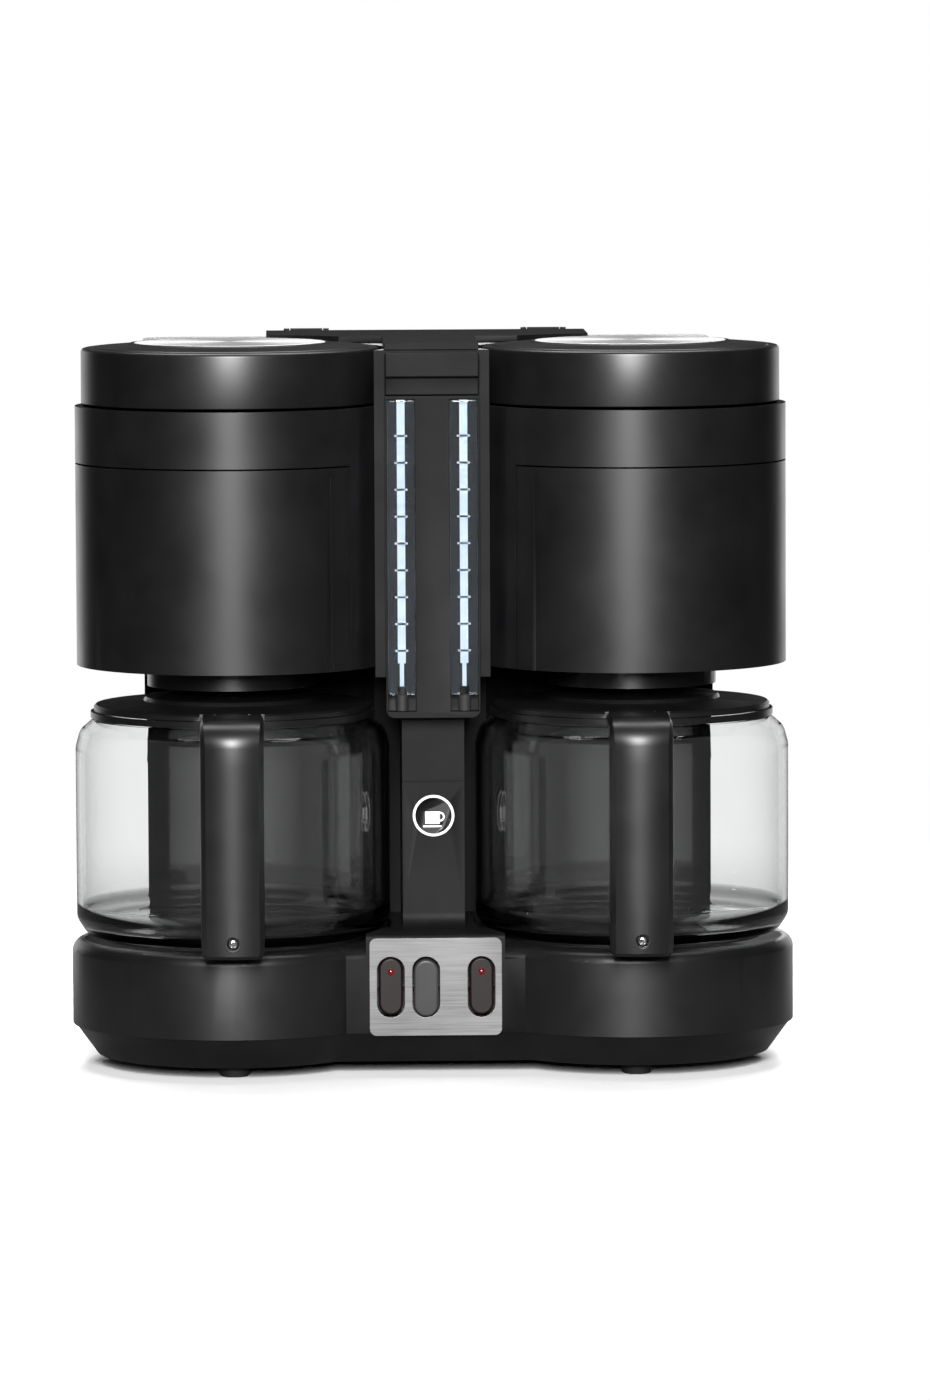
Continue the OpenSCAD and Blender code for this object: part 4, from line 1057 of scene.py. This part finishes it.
lo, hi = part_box("back_screws")
head_r, head_high, middle_screw = 3.0 * mm, 1.5 * mm, 195 * mm
heights = [lo.z + head_r, middle_screw, hi.z - head_r]
back_places = [(x, hi.y - head_high, z) for x in (lo.x + head_r, hi.x - head_r) for z in heights]
grown(
    tree, screws, {"Shape": head, "Turn": (-math.pi / 2, 0, 0), "Seed": 4},
    "back_screw_heads", "steel_small", "base", ["back_screws"], points_mesh(back_places),
)
for side in ("left", "right"):
    node = "handle_screw_" + side
    middle = middle_of(node)
    grown(
        tree, screws, {"Shape": head, "Turn": (math.pi / 2, 0, 0), "Seed": 9},
        "grip_screw_" + side, "steel_small", body_for[node], [node],
        points_mesh([(middle.x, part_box(node)[0].y + head_high, middle.z)]),
    )
bpy.data.objects.remove(head)

# %% [markdown]
# ## Filter baskets
# A filter basket is a moulded cone with ribs inside, which keep the paper off the wall so that coffee
# can run down behind it. The cone is turned. The ribs are one thin rod, set out round a tiny circle of
# points and turned by its own share of a full turn. An Array modifier on an empty could do it, but not
# with one number.

# %% A tree for ribs
tree, start, ribs = new_tree(
    "basket_ribs",
    [
        ("Count", "NodeSocketInt"), ("Centre", "NodeSocketVector"), ("Foot", "NodeSocketVector"),
        ("Top", "NodeSocketVector"), ("Thickness", "NodeSocketFloat"), ("Finish", "NodeSocketMaterial"),
    ],
)
rib = add(tree, "GeometryNodeCurvePrimitiveLine")
tube = add(tree, "GeometryNodeCurveToMesh", Fill_Caps=True)
outline = add(tree, "GeometryNodeCurvePrimitiveCircle", Resolution=8)
link(tree, start.outputs["Foot"], rib.inputs["Start"])
link(tree, start.outputs["Top"], rib.inputs["End"])
link(tree, start.outputs["Thickness"], outline.inputs["Radius"])
link(tree, rib.outputs[0], tube.inputs["Curve"])
link(tree, outline.outputs[0], tube.inputs["Profile Curve"])
print("one rib takes", len(tree.nodes), "nodes")

# %% [markdown]
# A point's index divided by the count is its share of a full turn, and that turns its rib about the
# basket's middle.

# %% The ribs go round
circle = add(tree, "GeometryNodeMeshCircle", Radius=0.0001)
place = add(tree, "GeometryNodeInstanceOnPoints")
index = add(tree, "GeometryNodeInputIndex")
step = add(tree, "ShaderNodeMath", "DIVIDE")
full = add(tree, "ShaderNodeMath", "MULTIPLY")
full.inputs[1].default_value = 2 * math.pi
around = add(tree, "ShaderNodeCombineXYZ")
move = add(tree, "GeometryNodeTransform")
link(tree, start.outputs["Count"], circle.inputs["Vertices"])
link(tree, circle.outputs[0], place.inputs["Points"])
link(tree, tube.outputs[0], place.inputs["Instance"])
link(tree, index.outputs[0], step.inputs[0])
link(tree, start.outputs["Count"], step.inputs[1])
link(tree, step.outputs[0], full.inputs[0])
link(tree, full.outputs[0], around.inputs["Z"])
link(tree, around.outputs[0], place.inputs["Rotation"])
link(tree, place.outputs[0], move.inputs["Geometry"])
link(tree, start.outputs["Centre"], move.inputs["Translation"])
close_tree(tree, move.outputs[0], start)
print(tree.name, "has", len(tree.nodes), "nodes")

# %% [markdown]
# The cone's wall is drawn once round, from the drain at its foot to the rim that rests in the holder.

# %% Cones and ribs
for side in ("left", "right"):
    node = "filter_basket_" + side
    lo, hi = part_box(node)
    centre, low, top = (lo + hi) / 2, lo.z / mm, hi.z / mm
    cone = [
        (4.2, low), (22, low, 2), (57, top - 2.2, 1.5), (62, top - 2, 0.6), (62, top, 0.7),
        (54.5, top, 1.0), (20, low + 2, 2), (4.2, low + 2, 0.4),
    ]
    cup = from_form(turned(softened(cone), centre), "cup")
    settle(cup, "paper_cone_" + side, "inner_plastic", body_for[node], [node])
    values = {
        "Count": 16, "Centre": (centre.x, centre.y, 0), "Foot": (22 * mm, 0, lo.z + 3 * mm),
        "Top": (52.5 * mm, 0, hi.z - 4 * mm), "Thickness": 0.9 * mm,
    }
    grown(tree, ribs, values, "cone_ribs_" + side, "inner_plastic", body_for[node], [node])

# %% [markdown]
# ## Badge
# The badge is a plain round plate: a raised white ring and a small white cup on a black ground. One
# mesh carries both colours, split by height, as a hot-stamped badge does. A printed decal would need a
# picture.

# %% Badge
badge = finished_copy("badge", "round_badge", "badge_white", 0.0)
badge.data.materials.append(finishes["black_casing"])
raised = min(v.co.y for v in badge.data.vertices)
for face in badge.data.polygons:
    if face.center.y > raised + 0.1 * mm:
        face.material_index = 1
print("badge:", sum(face.material_index for face in badge.data.polygons), "black faces")

# %% [markdown]
# ## Rocker keys
# A rocker key is a long rounded button that turns on a pin behind the panel. It is drawn upright as a
# stadium, pushed out, eased all round with a bevel, and then turned to its resting angle about its own
# joint. The outer two are smoked and carry a lamp; the middle one is plain.

# %% Three keys
key_wide, key_high, key_front, key_rear = 11.5 * mm, 27.5 * mm, -7.7 * mm, 2.5 * mm
rest_tilt = math.radians(4)
cap_r, cap_z = key_wide / 2, (key_high - key_wide) / 2
upper_arc = [math.pi * i / 20 for i in range(21)]
outline = [(cap_r * math.cos(a), cap_z + cap_r * math.sin(a)) for a in upper_arc]
outline += [(-x, -z) for x, z in outline]
joints = {joint["name"]: joint for joint in frame["joints"]}
for side in ("left", "middle", "right"):
    node = "rocker_" + side
    pivot = Vector(joints[node + "_tilt"]["pos_m"])
    tilt = rest_tilt if side == "middle" else -rest_tilt
    form = bmesh.new()
    front = [form.verts.new((x, key_front, z)) for x, z in outline]
    rear = [form.verts.new((x, key_rear, z)) for x, z in outline]
    form.faces.new(front)
    form.faces.new(rear[::-1])
    for i in range(len(front)):
        j = (i + 1) % len(front)
        form.faces.new((front[j], front[i], rear[i], rear[j]))
    bmesh.ops.recalc_face_normals(form, faces=form.faces)
    turn = Matrix.Translation(pivot) @ Matrix.Rotation(tilt, 4, "X")
    bmesh.ops.transform(form, matrix=turn, verts=form.verts)
    finish = "plain_key" if side == "middle" else "smoked_key"
    key = settle(from_form(form, "key"), "rocker_key_" + side, finish, body_for[node], [node], smooth=35)
    round_over(key, 1.1, 4, 40)
    print(key.name, "turns about", [round(v, 4) for v in pivot])

# %% [markdown]
# ## Lamps
# A lamp shows through each smoked key as a small red lens. The real one is a clear red dome over a
# bulb, so it is a flattened dome here too, which catches one small spark of light. A red dot of paint
# would stay dull.

# %% Lamps
lens_swell = 1.25
for side in ("left", "right"):
    node = "lamp_" + side
    lo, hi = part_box(node)
    lens = bmesh.new()
    bmesh.ops.create_uvsphere(lens, u_segments=32, v_segments=20, radius=1)
    size = (hi - lo) / 2
    flatten = Matrix.Diagonal((size.x, size.y * lens_swell, size.z, 1))
    bmesh.ops.transform(lens, matrix=Matrix.Translation((lo + hi) / 2) @ flatten, verts=lens.verts)
    settle(from_form(lens, "dome"), "red_lens_" + side, "lamp_red", body_for[node], [node], smooth=180)
print("lenses", round(2 * size.x / mm, 1), "mm wide")

# %% [markdown]
# ## Inner parts
# Heaters, thermostats, switch bodies, tanks, valves, springs, pins and tubes keep their CAD shape. They
# show only through a gap, or when a holder swings out, so a fitting finish is enough.

# %% Finishes for the CAD nodes that stay
inner = {
    "heating_elements": "element_metal", "thermostats": "ceramic", "water_tank_left": "tank_clear",
    "water_tank_right": "tank_clear", "tank_lid_pins": "pin_steel", "spray_heads": "inner_plastic",
    "riser_tubes": "tube_silicone", "drip_valve_left": "inner_plastic", "drip_valve_right": "inner_plastic",
    "valve_spring_left": "pin_steel", "valve_spring_right": "pin_steel", "holder_pins": "pin_steel",
    "jug_lid_pin_left": "pin_steel", "jug_lid_pin_right": "pin_steel", "switch_bodies": "inner_plastic",
    "rocker_pins": "soft_black", "base_screws": "steel_small",
}
for node, finish in inner.items():
    cad[node].data.materials.clear()
    cad[node].data.materials.append(finishes[finish])
left_over = [n for n, o in cad.items() if not o.hide_render and n not in inner]
print("CAD nodes shown:", len(inner), "without a finish:", left_over)

# %% [markdown]
# ## Which pieces a light reaches
# A bright strip behind clear glass would wash its outline away against the white ground. Light linking
# keeps the two rim lights off the jugs, so the glass keeps its grey edge and the plastic its bright
# one. The light behind is for the rear and the floor only: skimming over the round covers, it would
# turn their tops white.

# %% Rim lights leave the glass out
reached = bpy.data.collections.new("rim_light_reaches")
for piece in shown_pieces():
    if not piece.name.startswith("blown_glass"):
        reached.objects.link(piece)
for side in ("left", "right"):
    bpy.data.objects["rim_" + side].light_linking.receiver_collection = reached

# %% [markdown]
# A list of name beginnings picks the rear: back panel, base, tower and cord exit, and the floor with
# them.

# %% The light behind reaches the rear and the floor
rear = bpy.data.collections.new("back_light_reaches")
for piece in list(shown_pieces()) + [bpy.data.objects["floor"]]:
    if piece.name.startswith(("back_", "base_", "tower_shell", "cord_exit", "floor")):
        rear.objects.link(piece)
bpy.data.objects["behind"].light_linking.receiver_collection = rear

# %% Sizes of the CAD model and of the finished pieces
view_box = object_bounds()
boxes = {"cad": [list(c) for c in cad_box], "visual": [list(c) for c in view_box]}
for label, box in boxes.items():
    print(label, "box", [[round(v, 4) for v in corner] for corner in box])
